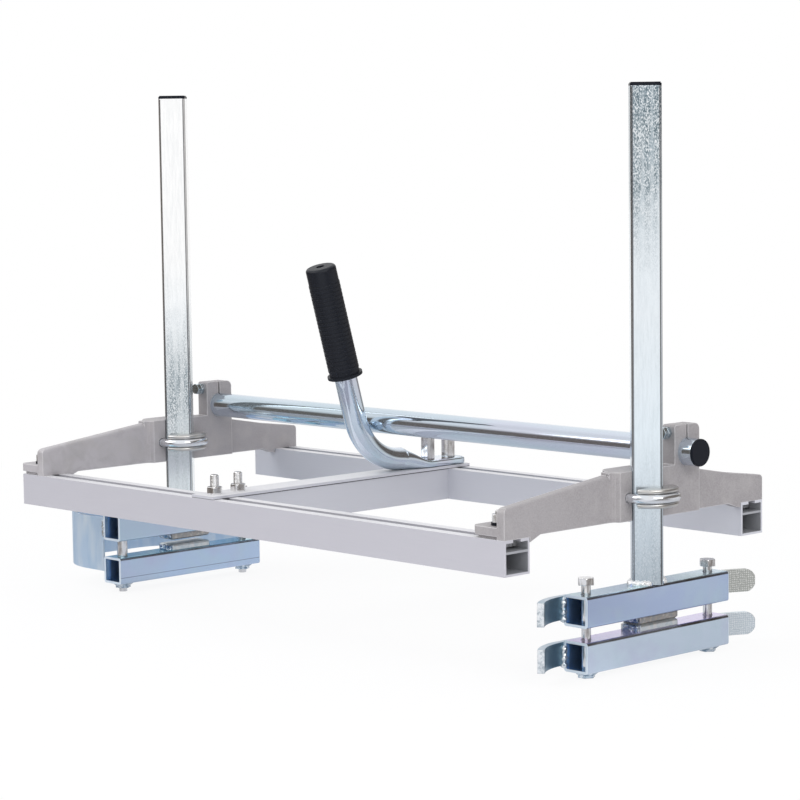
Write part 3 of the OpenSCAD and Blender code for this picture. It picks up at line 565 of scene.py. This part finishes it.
def plated(
    name, tones, roughness, size=0.035, amount=0.7, stretch=(1, 1, 1), radius=0.0016, depth=0.00001,
    metal=0.9, top=None, seam=None, corner_reflection=0.0, bore=None, cuts=None,
):
    """Bright zinc plate over steel: a main, a cool and a warm tone in clouds, with a painted highlight
    on its corners.

    top is another tone for faces that look up, seam the height of the tube's own weld seam,
    corner_reflection how dark the painted reflection on the upper long corners is, bore what
    inside_tube needs for the painted shade in the bore, and cuts the two y planes of the sawn ends,
    all in metres.
    """
    material, tree, shader = new_material(name)
    edges = effect(tree, soft_edges, Radius=radius)
    skin = effect(tree, grain, Normal=edges["Normal"], Size=0.005, Depth=depth, Stretch=stretch)
    clouds = dict(zip(("Main", "Cool", "Warm"), tones))
    tints = effect(tree, bloom, Size=size, Amount=amount, Stretch=stretch, **clouds)
    tone = tints["Color"]
    metallic = metal
    if top:
        tone = mix_colours(tree, top_share(tree, tints["Cloud"]), tone, top)
    # Painted highlight: the rounded corners are mixed a little toward a paler zinc.
    tone = mix_colours(tree, product(tree, edges["Edge"], 0.15), tone, ZINC_EDGE_HIGHLIGHT)
    if seam:
        tone = mix_colours(tree, level_line(tree, seam, SEAM_HALF), tone, SEAM_GREY)
    # Painted reflection: a brown-dark line on the upper long corners.
    if corner_reflection:
        tone = mix_colours(tree, corner_reflection_share(tree, tints["Cloud"], corner_reflection), tone, REFLECTION_BROWN)
    # Painted shade: the bore is mixed toward a deeper blue.
    if bore:
        tone = mix_colours(tree, inside_tube(tree, *bore), tone, BORE_SHADE_BLUE)
    if cuts:
        sawn = sawn_share(tree, cuts)
        tone = mix_colours(tree, product(tree, sawn, 0.9), tone, SAWN_PALE)
        metallic = math_node(tree, "MULTIPLY_ADD", sawn, 0.2 - metal, metal)
    sheen = ramp(tree, skin["Grit"], [(0.3, roughness - 0.03), (0.7, roughness + 0.03)])
    feed(tree, shader, Base_Color=tone, Metallic=metallic, Roughness=sheen, Normal=skin["Normal"])
    return material


TEAL = (0.56, 0.72, 0.78)
LILAC = (0.58, 0.56, 0.78)
JAW_TONES = {
    "right_upper": (0.48, 0.58, 0.80), "right_lower": (0.66, 0.76, 0.88),
    "left_upper": (0.54, 0.66, 0.80), "left_lower": (0.54, 0.67, 0.87),
}
JAW_TOPS = {
    "right_upper": (0.52, 0.70, 0.74), "right_lower": (0.66, 0.56, 0.84),
    "left_upper": (0.30, 0.60, 0.72), "left_lower": (0.30, 0.60, 0.72),
}
JAW_CORNER_REFLECTION = {"left": 0.7, "right": 0.9}
JAW_MIDDLE = 13.25 * MM
JAW_BORE_HALF = 11.1 * MM
SEAM_HEIGHT = 6.5 * MM
NUT_TONES = ((0.58, 0.68, 0.78), (0.16, 0.26, 0.36), (0.90, 0.94, 0.97))
for side in ("left", "right"):
    for level_name in ("upper", "lower"):
        jaw = f"{side}_{level_name}"
        low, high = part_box(jaw + "_jaw")
        centre = ((low.x + high.x) / 2, (low.y + high.y) / 2, low.z + JAW_MIDDLE)
        finish_node(jaw + "_jaw", plated(
            jaw + "_jaw_zinc", (JAW_TONES[jaw], TEAL, LILAC), 0.18,
            size=0.05, amount=0.5, radius=0.0004, depth=0.0, metal=0.85, top=JAW_TOPS[jaw],
            seam=low.z + SEAM_HEIGHT if jaw == "left_lower" else None, corner_reflection=JAW_CORNER_REFLECTION[side],
            bore=(centre, (JAW_BORE_HALF, JAW_BORE_HALF), ("X", "Z")), cuts=(low.y, high.y),
        ))
    finish_node(side + "_jaw_nuts", plated(side + "_nut_zinc", NUT_TONES, 0.16, size=0.004, amount=1.0))

# Nose guard: sheet bent round the saw's nose and welded to the ends of the left upper jaw.
# Its plating has soft upright clouds of a lighter and a deeper blue, and its faces that look up
# are painted near black as shade under the rail.
guard_zinc = plated(
    "guard_zinc", ((0.50, 0.64, 0.80), (0.39, 0.56, 0.75), (0.68, 0.77, 0.85)), 0.34,
    size=0.022, amount=0.9, stretch=(1, 1, 0.3), radius=0.0004, metal=0.4, top=(0.05, 0.11, 0.20),
)
finish_node("nose_guard", guard_zinc)

# Runner strips: flat bar, hooked in front and swept behind. The rear ends keep the hatched
# marks of a file under dull hot-dipped zinc.
FILED_FROM = 0.085
FILED_FULLY = 0.10
HOOK_FROM = -0.0885
HOOK_SHADE = (0.13, 0.22, 0.29)
DIPPED = {"Main": (0.50, 0.60, 0.68), "Cool": (0.34, 0.48, 0.56), "Warm": (0.66, 0.70, 0.74)}
HOOK_END = {"Main": (0.80, 0.84, 0.86), "Cool": (0.40, 0.46, 0.50), "Warm": (0.95, 0.96, 0.97)}


def file_marks(tree, way):
    """The wavy lines of one pass with a file, as bands along an axis."""
    return add(
        tree, "TexWave", Vector=object_place(tree), wave_type="BANDS", bands_direction=way,
        Scale=165.0, Distortion=5.0, Detail=2.5, Detail_Scale=2.0,
    ).outputs["Fac"]


def hatched(name, dull, light):
    """Flat bar in dipped zinc, with crossed file marks in two tones behind and painted shade on the hook in
    front.
    """
    material, tree, shader = new_material(name)
    edges = effect(tree, soft_edges, Radius=0.0010)
    along_y = axis_of(tree, object_place(tree), "Y")
    hatch = product(tree, file_marks(tree, "Z"), file_marks(tree, "Y"))
    filed_part = add(
        tree, "MapRange", Value=along_y, clamp=True,
        From_Min=FILED_FROM, From_Max=FILED_FULLY, To_Min=0.0, To_Max=1.0,
    ).outputs[0]
    dipped = effect(tree, bloom, Size=0.012, Amount=0.8, **DIPPED)
    filed = mix_colours(tree, ramp(tree, hatch, [(0.0, 0.0), (0.8, 1.0)]), dull, light)
    tone = mix_colours(tree, filed_part, dipped["Color"], filed)
    hook = math_node(tree, "LESS_THAN", along_y, HOOK_FROM)
    # Painted shade on the hook's faces that look along x.
    faces_out = math_node(tree, "GREATER_THAN", facing_axis(tree, "X"), 0.25)
    tone = mix_colours(tree, product(tree, hook, faces_out), tone, HOOK_SHADE)
    faces_front = math_node(tree, "LESS_THAN", facing_axis(tree, "Y"), -0.68)
    hook_end = effect(tree, bloom, Size=0.003, Amount=0.9, **HOOK_END)
    tone = mix_colours(tree, product(tree, hook, faces_front), tone, hook_end["Color"])
    cut = add(tree, "Bump", Height=hatch, Normal=edges["Normal"], Distance=0.0002)
    give(tree, cut.inputs["Strength"], math_node(tree, "MULTIPLY_ADD", filed_part, 0.45, 0.03))
    sheen = math_node(tree, "MULTIPLY_ADD", filed_part, 0.16, 0.28)
    feed(tree, shader, Base_Color=tone, Normal=cut.outputs[0], Metallic=0.75, Roughness=sheen)
    return material


finish_node("right_upper_runner", hatched("upper_runner_zinc", (0.50, 0.52, 0.49), (0.88, 0.89, 0.86)))
finish_node("right_lower_runner", hatched("lower_runner_zinc", (0.66, 0.74, 0.79), (0.93, 0.97, 1.0)))

# Pads: short bars with a filed grip, welded to the jaws' inner faces.
# The upper ones took a brown tarnish from the weld, the lower ones stayed pale.
UPPER_PAD = ((0.40, 0.37, 0.345), (0.30, 0.32, 0.35), (0.62, 0.58, 0.53))
LOWER_PAD = ((0.66, 0.70, 0.72), (0.52, 0.60, 0.64), (0.78, 0.77, 0.75))
for side in ("left", "right"):
    upper, lower = side + "_upper_pad", side + "_lower_pad"
    finish_node(upper, plated(upper + "_zinc", UPPER_PAD, 0.36, size=0.004, amount=0.9, depth=0.0001))
    finish_node(lower, plated(lower + "_zinc", LOWER_PAD, 0.32, size=0.005, amount=0.8, depth=0.00005))

# Hardware: zinc-plated M8 bolts, nuts and studs, cold-headed and rolled, and the M6 pinch screws.
# The front studs of the brace and the studs of the brackets' feet stand out of their nuts, and
# show their thread there as a surface over the CAD's plain shank. The bolts keep plain shanks.
PLATE_TONES = ((0.84, 0.84, 0.85), (0.30, 0.26, 0.23), (0.97, 0.97, 0.97))
PINCH_TONES = ((0.60, 0.70, 0.76), (0.28, 0.40, 0.48), (0.88, 0.91, 0.93))
BOUGHT = (
    "_bolt", "_bolt_nuts", "_nut", "_screw", "_foot_nuts", "_foot_studs", "_spacer", "_studs",
    "brace_nuts", "handle_nuts",
)
hardware = plated("hardware_zinc", PLATE_TONES, 0.12, size=0.004, stretch=(1, 1, 0.3), radius=0.0007)
pinch_zinc = plated("pinch_zinc", PINCH_TONES, 0.14, size=0.004, radius=0.0007)
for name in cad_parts:
    if name.endswith(BOUGHT):
        finish_node(name, pinch_zinc if "pinch" in name else hardware)

SHANK_RADIUS = 4.0
THREAD_PITCH = 1.25
THREAD_ROOT = 0.15
THREAD_DEPTH = 0.33
THREAD_ROWS = 10
THREAD_SIDES = 32
# A Wave texture runs through 20 radians a metre at scale 1, so this scale gives a band a pitch.
thread_steel, tree, shader = new_material("thread_steel")
wave_scale = 2 * math.pi / (20 * THREAD_PITCH * MM)
grooves = add(
    tree, "TexWave", Vector=object_place(tree), wave_type="BANDS", bands_direction="Z", Scale=wave_scale,
).outputs["Fac"]
# Painted shade: the grooves' bands are near black, the crests a pale grey.
groove_shade_tone = ramp(tree, grooves, [(0.10, 0.10), (0.60, 0.82)])
feed(tree, shader, Base_Color=groove_shade_tone, Metallic=0.9, Roughness=0.2)


def box_mm(node):
    """The corners of a CAD node's box in millimetres."""
    return tuple(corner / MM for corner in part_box(node))


def surface(name, points, body, material, ends=True):
    """Makes a piece from rings of points, shape (rows, columns, 3) in metres.

    Each ring closes on itself and joins the next one, and with ends the first and last rings are
    closed by a face each. The piece rides on a CAD body.
    """
    rows, columns = points.shape[:2]
    here = np.arange(rows * columns).reshape(rows, columns)
    beside = np.roll(here, -1, axis=1)
    faces = np.stack([here[:-1], beside[:-1], beside[1:], here[1:]], axis=-1).reshape(-1, 4).tolist()
    if ends:
        faces += [here[0, ::-1].tolist(), here[-1].tolist()]
    mesh = bpy.data.meshes.new(name)
    mesh.from_pydata(points.reshape(-1, 3).tolist(), [], faces)
    mesh.polygons.foreach_set("use_smooth", np.ones(len(faces), dtype=bool))
    mesh.update()
    mesh.materials.append(material)
    piece = in_scene(name, mesh)
    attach(piece, body)
    return piece


def thread(x, y, low, high):
    """The crests of a screw thread round the z axis through (x, y), from low to high, in millimetres.

    The radius is the shank's, less the root's depth, plus a triangle wave whose phase is height
    over pitch less the angle over a full turn, so the crest climbs one pitch in each turn. The
    wave fades in and out over the first and the last pitch.
    """
    heights = np.linspace(low, high, int((high - low) / THREAD_PITCH * THREAD_ROWS) + 2)[:, None]
    turn = np.linspace(0, 2 * np.pi, THREAD_SIDES, endpoint=False)
    phase = (heights / THREAD_PITCH - turn / (2 * np.pi)) % 1
    crest = 1 - np.abs(2 * phase - 1)
    run_out = np.clip(np.minimum(heights - low, high - heights) / THREAD_PITCH, 0, 1)
    reach = SHANK_RADIUS - THREAD_ROOT + THREAD_DEPTH * crest * run_out
    return np.stack([x + reach * np.cos(turn), y + reach * np.sin(turn), heights + 0 * turn], axis=-1) * MM


IN_NUT = 0.5
BRACE_STUDS_APART = 28.0
BRACE_THREAD = 10.4
FOOT_STUDS_APART = 301.5
STUD_CHAMFER = 0.8


def stud_thread(name, nuts, apart, top, body):
    """Threads of two studs that stand apart along y in the middle of their nuts' box, up to top."""
    low, high = box_mm(nuts)
    middle = (low + high) / 2
    for end, y in (("front", middle.y - apart / 2), ("rear", middle.y + apart / 2)):
        crests = thread(middle.x, y, high.z - IN_NUT, top)
        surface(f"{name}_{end}_thread", crests, body, thread_steel, ends=False)


stud_thread("brace", "brace_nuts", BRACE_STUDS_APART, box_mm("brace_nuts")[1].z + BRACE_THREAD, "frame")
for side in ("left", "right"):
    top = box_mm(side + "_foot_studs")[1].z - STUD_CHAMFER
    stud_thread(side + "_foot", side + "_foot_nuts", FOOT_STUDS_APART, top, side + "_clamp")

# U-bolts and their saddles: round rod bent round the post, over a steel saddle with two flanges.
# The rods are bright chrome-like zinc, the saddles a satin beige. The smooth bows replace the
# CAD's faceted ones, and each flange gets a rounded rim.
ROD_TONES = ((0.78, 0.80, 0.84), (0.66, 0.72, 0.78), (0.74, 0.72, 0.72))
SADDLE_TONES = ((0.60, 0.585, 0.565), (0.52, 0.53, 0.54), (0.66, 0.64, 0.60))
rod_zinc = plated("rod_zinc", ROD_TONES, 0.10, size=0.02, radius=0.0003)
saddle_steel = plated("saddle_steel", SADDLE_TONES, 0.30, size=0.01, radius=0.0006)


def swept(centres, side, lift, half_side, half_lift, power, columns):
    """Rings of a tube along centres, as an array (rows, columns, 3).

    A ring is a superellipse: |x / half_side|^power + |y / half_lift|^power = 1, with x along
    side and y along lift. Power 2 is an ellipse, a larger one a rectangle with rounded corners.
    """
    turn = np.linspace(0, 2 * np.pi, columns, endpoint=False)
    bend = (2 / power)[:, None]
    x = np.sign(np.cos(turn)) * np.abs(np.cos(turn)) ** bend * half_side[:, None]
    y = np.sign(np.sin(turn)) * np.abs(np.sin(turn)) ** bend * half_lift[:, None]
    return centres[:, None, :] + x[..., None] * side[:, None, :] + y[..., None] * lift[:, None, :]


ROUND = 2.0
ARC_ROWS = 72
ROD_SIDES = 32


def level_arc(centre, radius, turn, thick, leg_x=None):
    """Rings of a round bar bent level round centre, from turn to -turn radians off the x axis.

    With leg_x a straight leg goes on from both ends to that x.
    """
    angle = np.linspace(turn, -turn, ARC_ROWS)
    out = np.column_stack([np.cos(angle), np.sin(angle), np.zeros(ARC_ROWS)])
    middle = np.array(centre) + radius * out
    if leg_x is not None:
        middle = np.concatenate([[[leg_x, *middle[0, 1:]]], middle, [[leg_x, *middle[-1, 1:]]]])
        out = np.concatenate([out[:1], out, out[-1:]])
    rows = len(middle)
    up = np.tile([0.0, 0.0, 1.0], (rows, 1))
    half = np.full(rows, thick / 2)
    return swept(middle, up, out, half, half, np.full(rows, ROUND), ROD_SIDES) * MM


# The rims stop this many radians short of the flanges' corners.
RIM_SETBACK = 0.05
for side in ("left", "right"):
    low, high = box_mm(side + "_u_bolt")
    rod = high.z - low.z
    outer = (high.y - low.y) / 2
    centre = (high.x - outer, (low.y + high.y) / 2, (low.z + high.z) / 2)
    rings = level_arc(centre, outer - rod / 2, math.pi / 2, rod, leg_x=low.x)
    bow = surface(side + "_u_bolt_smooth", rings, side + "_clamp", rod_zinc)
    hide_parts(side + "_u_bolt")
    finish_node(side + "_post_saddle", saddle_steel)
    low, high = box_mm(side + "_post_saddle")
    flange = (high.z - low.z - rod) / 2
    rim = high.x - centre[0] - flange / 2
    turn = math.acos((low.x - centre[0]) / rim) - RIM_SETBACK
    for level_name, z in (("upper", high.z - flange / 2), ("lower", low.z + flange / 2)):
        rings = level_arc((*centre[:2], z), rim, turn, flange)
        surface(f"{side}_saddle_{level_name}_rim", rings, side + "_clamp", saddle_steel)

# Cross bar: round steel tube in bright zinc, clamped in the split ends of both brackets.
# Its plating is smooth enough to mirror the room as long pale and dark stripes.
BAR_TONES = ((0.655, 0.735, 0.82), (0.56, 0.68, 0.75), (0.66, 0.67, 0.79))
finish_node("cross_bar", plated("bar_zinc", BAR_TONES, 0.07, stretch=(0.2, 1, 1), radius=0.0003))

# Handle: a slimmer tube in bright zinc, bent back and pressed flat at its foot for two studs.
# A section runs down the stem, round the bend and along the foot, and turns from round to flat.
HANDLE_TONES = ((0.69, 0.765, 0.855), (0.58, 0.70, 0.79), (0.68, 0.68, 0.81))
HANDLE_HALF = 11.0
BEND = 60.0
LEAN = math.radians(15.8)
FOOT_RUN = 77.36
FOOT_HALF = 3.75
CORNER = 5.0
PRESSED_BEFORE = 4.0
PRESSED_OVER = 36.0
FLATNESS = 3.5
STEM_ROWS = 40
BEND_ROWS = 48
FOOT_ROWS = 90
CORNER_ROWS = 12
HANDLE_SIDES = 64
low, high = box_mm("handle_tube")
bend_y = high.y - FOOT_RUN
bend_z = low.z + HANDLE_HALF + BEND

# The line of the tube's middle as (y, z): the stem, the arc of the bend, and the foot.
stem_top = (high.z - bend_z + BEND * math.sin(LEAN)) / math.cos(LEAN) - HANDLE_HALF * math.tan(LEAN)
stem = np.linspace(stem_top, 0, STEM_ROWS, endpoint=False)
stem_y = bend_y - BEND * math.cos(LEAN) - stem * math.sin(LEAN)
stem_z = bend_z - BEND * math.sin(LEAN) + stem * math.cos(LEAN)
arc = np.linspace(math.pi + LEAN, 1.5 * math.pi, BEND_ROWS)
level_run = np.linspace(0, FOOT_RUN - CORNER, FOOT_ROWS)[1:]
corner_run = FOOT_RUN - CORNER * (1 - np.sin(np.linspace(0, np.pi / 2, CORNER_ROWS)))
run = np.concatenate([level_run, corner_run])

# How far the foot is pressed eases from 0 to 1, and its two end corners are quarter circles.
pressed = np.clip((run + PRESSED_BEFORE) / PRESSED_OVER, 0, 1)
pressed = pressed * pressed * (3 - 2 * pressed)
half_lift = HANDLE_HALF + (FOOT_HALF - HANDLE_HALF) * pressed
half_side = HANDLE_HALF + ((high.x - low.x) / 2 - HANDLE_HALF) * pressed
to_end = np.clip(FOOT_RUN - run, 0, CORNER)
half_side -= CORNER - np.sqrt(np.clip(CORNER ** 2 - (CORNER - to_end) ** 2, 0, None))

# Each section stands square to the way ahead, which is level from the bend's end on.
line_y = np.concatenate([stem_y, bend_y + BEND * np.cos(arc), bend_y + run])
line_z = np.concatenate([stem_z, bend_z + BEND * np.sin(arc), low.z + half_lift])
rows = len(line_y)
bent = STEM_ROWS + BEND_ROWS
ahead = np.gradient(np.column_stack([line_y, line_z]), axis=0)
ahead[bent + 2:] = [1.0, 0.0]
ahead /= np.linalg.norm(ahead, axis=1, keepdims=True)
centres = np.column_stack([np.full(rows, (low.x + high.x) / 2), line_y, line_z])
side_ways = np.tile([1.0, 0.0, 0.0], (rows, 1))
lift_ways = np.column_stack([np.zeros(rows), -ahead[:, 1], ahead[:, 0]])
widths = np.concatenate([np.full(bent, HANDLE_HALF), half_side])
heights = np.concatenate([np.full(bent, HANDLE_HALF), half_lift])
squareness = np.concatenate([np.full(bent, ROUND), ROUND + FLATNESS * pressed])
rings = swept(centres, side_ways, lift_ways, widths, heights, squareness, HANDLE_SIDES) * MM
handle_zinc = plated("handle_zinc", HANDLE_TONES, 0.08, size=0.03, radius=0.0003)
handle = surface("handle_tube_smooth", rings, "frame", handle_zinc)
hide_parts("handle_tube")

# Welds: beads of bright lumpy metal, laid by hand where the posts, pads, runners and nose guard
# meet the jaws, and plated over with them.
WELD_TONES = ((0.80, 0.84, 0.87), (0.12, 0.22, 0.32), (0.92, 0.92, 0.90))
FOOT_WELD_TONES = ((0.92, 0.94, 0.95), (0.50, 0.46, 0.42), (0.98, 0.98, 0.98))
PAD_WELD_TONES = ((0.34, 0.44, 0.58), (0.02, 0.06, 0.15), (0.98, 0.98, 0.98))
weld_zinc = plated("weld_zinc", WELD_TONES, 0.20, size=0.0025, amount=1.0, depth=0.0002)
foot_weld = plated(
    "foot_weld_zinc", FOOT_WELD_TONES, 0.34, size=0.004, amount=0.9, depth=0.0001, metal=0.4,
)
pad_weld = plated("pad_weld_zinc", PAD_WELD_TONES, 0.12, size=0.0034, amount=1.0, depth=0.0002)

PUDDLE = 1.7
BEAD_STEP = 0.25
BEAD_ROWS = 24
BEAD_SIDES = 20


def bead(path, radius, seed):
    """A weld bead along a path of points (n, 3) in millimetres, as rings in metres.

    The radius swells and shrinks once a puddle, as each puddle of weld froze, wanders with three
    slow waves that seed shifts, and closes at both ends like a half circle.
    """
    steps = np.linalg.norm(np.diff(path, axis=0), axis=1)
    run = np.concatenate([[0], np.cumsum(steps)])
    places = np.linspace(0, run[-1], max(int(run[-1] / BEAD_STEP), BEAD_ROWS))
    centres = np.stack([np.interp(places, run, path[:, i]) for i in range(3)], axis=1)
    along = np.gradient(centres, axis=0)
    along /= np.linalg.norm(along, axis=1, keepdims=True)
    helper = np.where(np.abs(along[:, 2:]) < 0.9, [[0.0, 0.0, 1.0]], [[1.0, 0.0, 0.0]])
    side = np.cross(along, helper)
    side /= np.linalg.norm(side, axis=1, keepdims=True)
    lift = np.cross(side, along)
    turn = np.linspace(0, 2 * np.pi, BEAD_SIDES, endpoint=False)
    puddle = 0.10 * np.abs(np.sin(np.pi * places / PUDDLE + seed))
    wander = 0.10 * np.sin(places * 0.9 + 2.1 * seed) + 0.07 * np.sin(places * 2.3 + seed)
    lumps = 0.08 * np.sin(3 * turn[None, :] + 1.3 * places[:, None] + seed)
    inset = np.minimum(places, run[-1] - places) / radius
    closing = np.sqrt(np.clip(1 - (1 - np.clip(inset, 0, 1)) ** 2, 0.002, 1))
    reach = radius * closing[:, None] * (0.86 + puddle[:, None] + wander[:, None] + lumps)
    ring = np.cos(turn)[None, :, None] * side[:, None, :] + np.sin(turn)[None, :, None] * lift[:, None, :]
    return (centres[:, None, :] + reach[..., None] * ring) * MM


def weld(name, points, radius, seed, body, material):
    """Lays a bead through points in millimetres, on a CAD body."""
    surface(name, bead(np.array(points), radius, seed), body, material)


ENDS = ((-1, "front"), (1, "rear"))
HEAVY_BEAD = 3.2

# A post stands edge-on on its jaw, with a bead round its front corner and one round the rear.
# A pad has two beads at each end, one at its root and one half way up.
POST_SEAT = 1.0
POST_CORNER = 1.5
POST_STANDOFF = 1.2
CORNER_STANDOFF = 0.6
PAD_ROOT = 2.8
PAD_CAP = 2.2
PAD_ROOT_IN = 0.6
PAD_STANDOFF = 0.3
PAD_INSET = 2.0
for side, seed in (("left", 0.4), ("right", 1.9)):
    low, high = box_mm(side + "_post")
    jaw_low, jaw_high = box_mm(side + "_upper_jaw")
    middle = (low + high) / 2
    seat = jaw_low.z + 2 * JAW_MIDDLE / MM + POST_SEAT
    reach = (high.y - low.y) / 2
    jaw_half = (jaw_high.x - jaw_low.x) / 2 - POST_CORNER
    short = reach - jaw_half
    for way, end in ENDS:
        flank_y = middle.y + way * (short + POST_STANDOFF)
        corner_y = middle.y + way * (reach + CORNER_STANDOFF)
        points = [
            [middle.x - jaw_half, flank_y, seat], [middle.x - POST_CORNER, corner_y, seat],
            [middle.x + POST_CORNER, corner_y, seat], [middle.x + jaw_half, flank_y, seat],
        ]
        weld(f"{side}_post_weld_{end}", points, HEAVY_BEAD, seed + way, side + "_mast", foot_weld)
    for level_name, body in (("upper", side + "_mast"), ("lower", side + "_lower")):
        low, high = box_mm(f"{side}_{level_name}_pad")
        root = high.z - PAD_ROOT_IN if level_name == "upper" else low.z + PAD_ROOT_IN
        for (way, end), y in zip(ENDS, (low.y - PAD_STANDOFF, high.y + PAD_STANDOFF)):
            for run, radius, z in (("root", PAD_ROOT, root), ("cap", PAD_CAP, (low.z + high.z) / 2)):
                name = f"{side}_{level_name}_pad_weld_{run}_{end}"
                points = [[low.x + PAD_INSET, y, z], [high.x - PAD_INSET, y, z]]
                weld(name, points, radius, seed + 2 * way + z, body, pad_weld)

# The nose guard and the runners are welded upright to the corners of the jaws' ends.
GUARD_BEAD = 1.7
GUARD_STANDOFF = 0.6
GUARD_INSET = 0.4
RUNNER_STANDOFF = 0.8
RUNNER_INSET = 0.4
END_INSET = 2.5
RUNNER_TOP_INSET = 4.0
low, high = box_mm("left_upper_jaw")
guard_top = box_mm("nose_guard")[1].z
x = low.x - GUARD_STANDOFF
for (way, end), y in zip(ENDS, (low.y + GUARD_INSET, high.y - GUARD_INSET)):
    points = [[x, y, low.z + END_INSET], [x, y, guard_top - END_INSET]]
    weld(f"guard_weld_{end}", points, GUARD_BEAD, 3.1 + way, "left_mast", weld_zinc)
for level_name, body in (("upper", "right_mast"), ("lower", "right_lower")):
    low, high = box_mm(f"right_{level_name}_jaw")
    x = low.x + RUNNER_INSET
    for (way, end), y in zip(ENDS, (low.y - RUNNER_STANDOFF, high.y + RUNNER_STANDOFF)):
        name = f"right_{level_name}_runner_weld_{end}"
        points = [[x, y, low.z + END_INSET], [x, y, high.z - RUNNER_TOP_INSET]]
        weld(name, points, HEAVY_BEAD, 0.7 + way, body, weld_zinc)

# Plastic caps, washers and the rubber grip: black, moulded, with a fine matt skin.
# The caps plug the ends of the posts and of the bar, the washers lie under the foot nuts, and the
# grip is pushed over the handle's stem.
BLACK = (0.0055, 0.007, 0.012)
WORN_BLACK = (0.009, 0.0115, 0.019)


def moulded(name, shine):
    """Black moulding: a fine matt skin, with that much shine."""
    material, tree, shader = new_material(name)
    edges = effect(tree, soft_edges, Radius=0.0005)
    skin = effect(tree, grain, Normal=edges["Normal"], Size=0.0012, Depth=0.00003)
    tone = ramp(tree, skin["Grit"], [(0.3, BLACK), (0.7, WORN_BLACK)])
    feed(tree, shader, Base_Color=tone, Normal=skin["Normal"], Roughness=0.42, Specular_IOR_Level=shine)
    return material


cap_plastic = moulded("cap_plastic", 0.15)
for name in ("cross_bar_caps", "left_post_cap", "right_post_cap", "left_foot_washers", "right_foot_washers"):
    finish_node(name, cap_plastic)
finish_node("handle_grip", moulded("grip_rubber", 0.29))
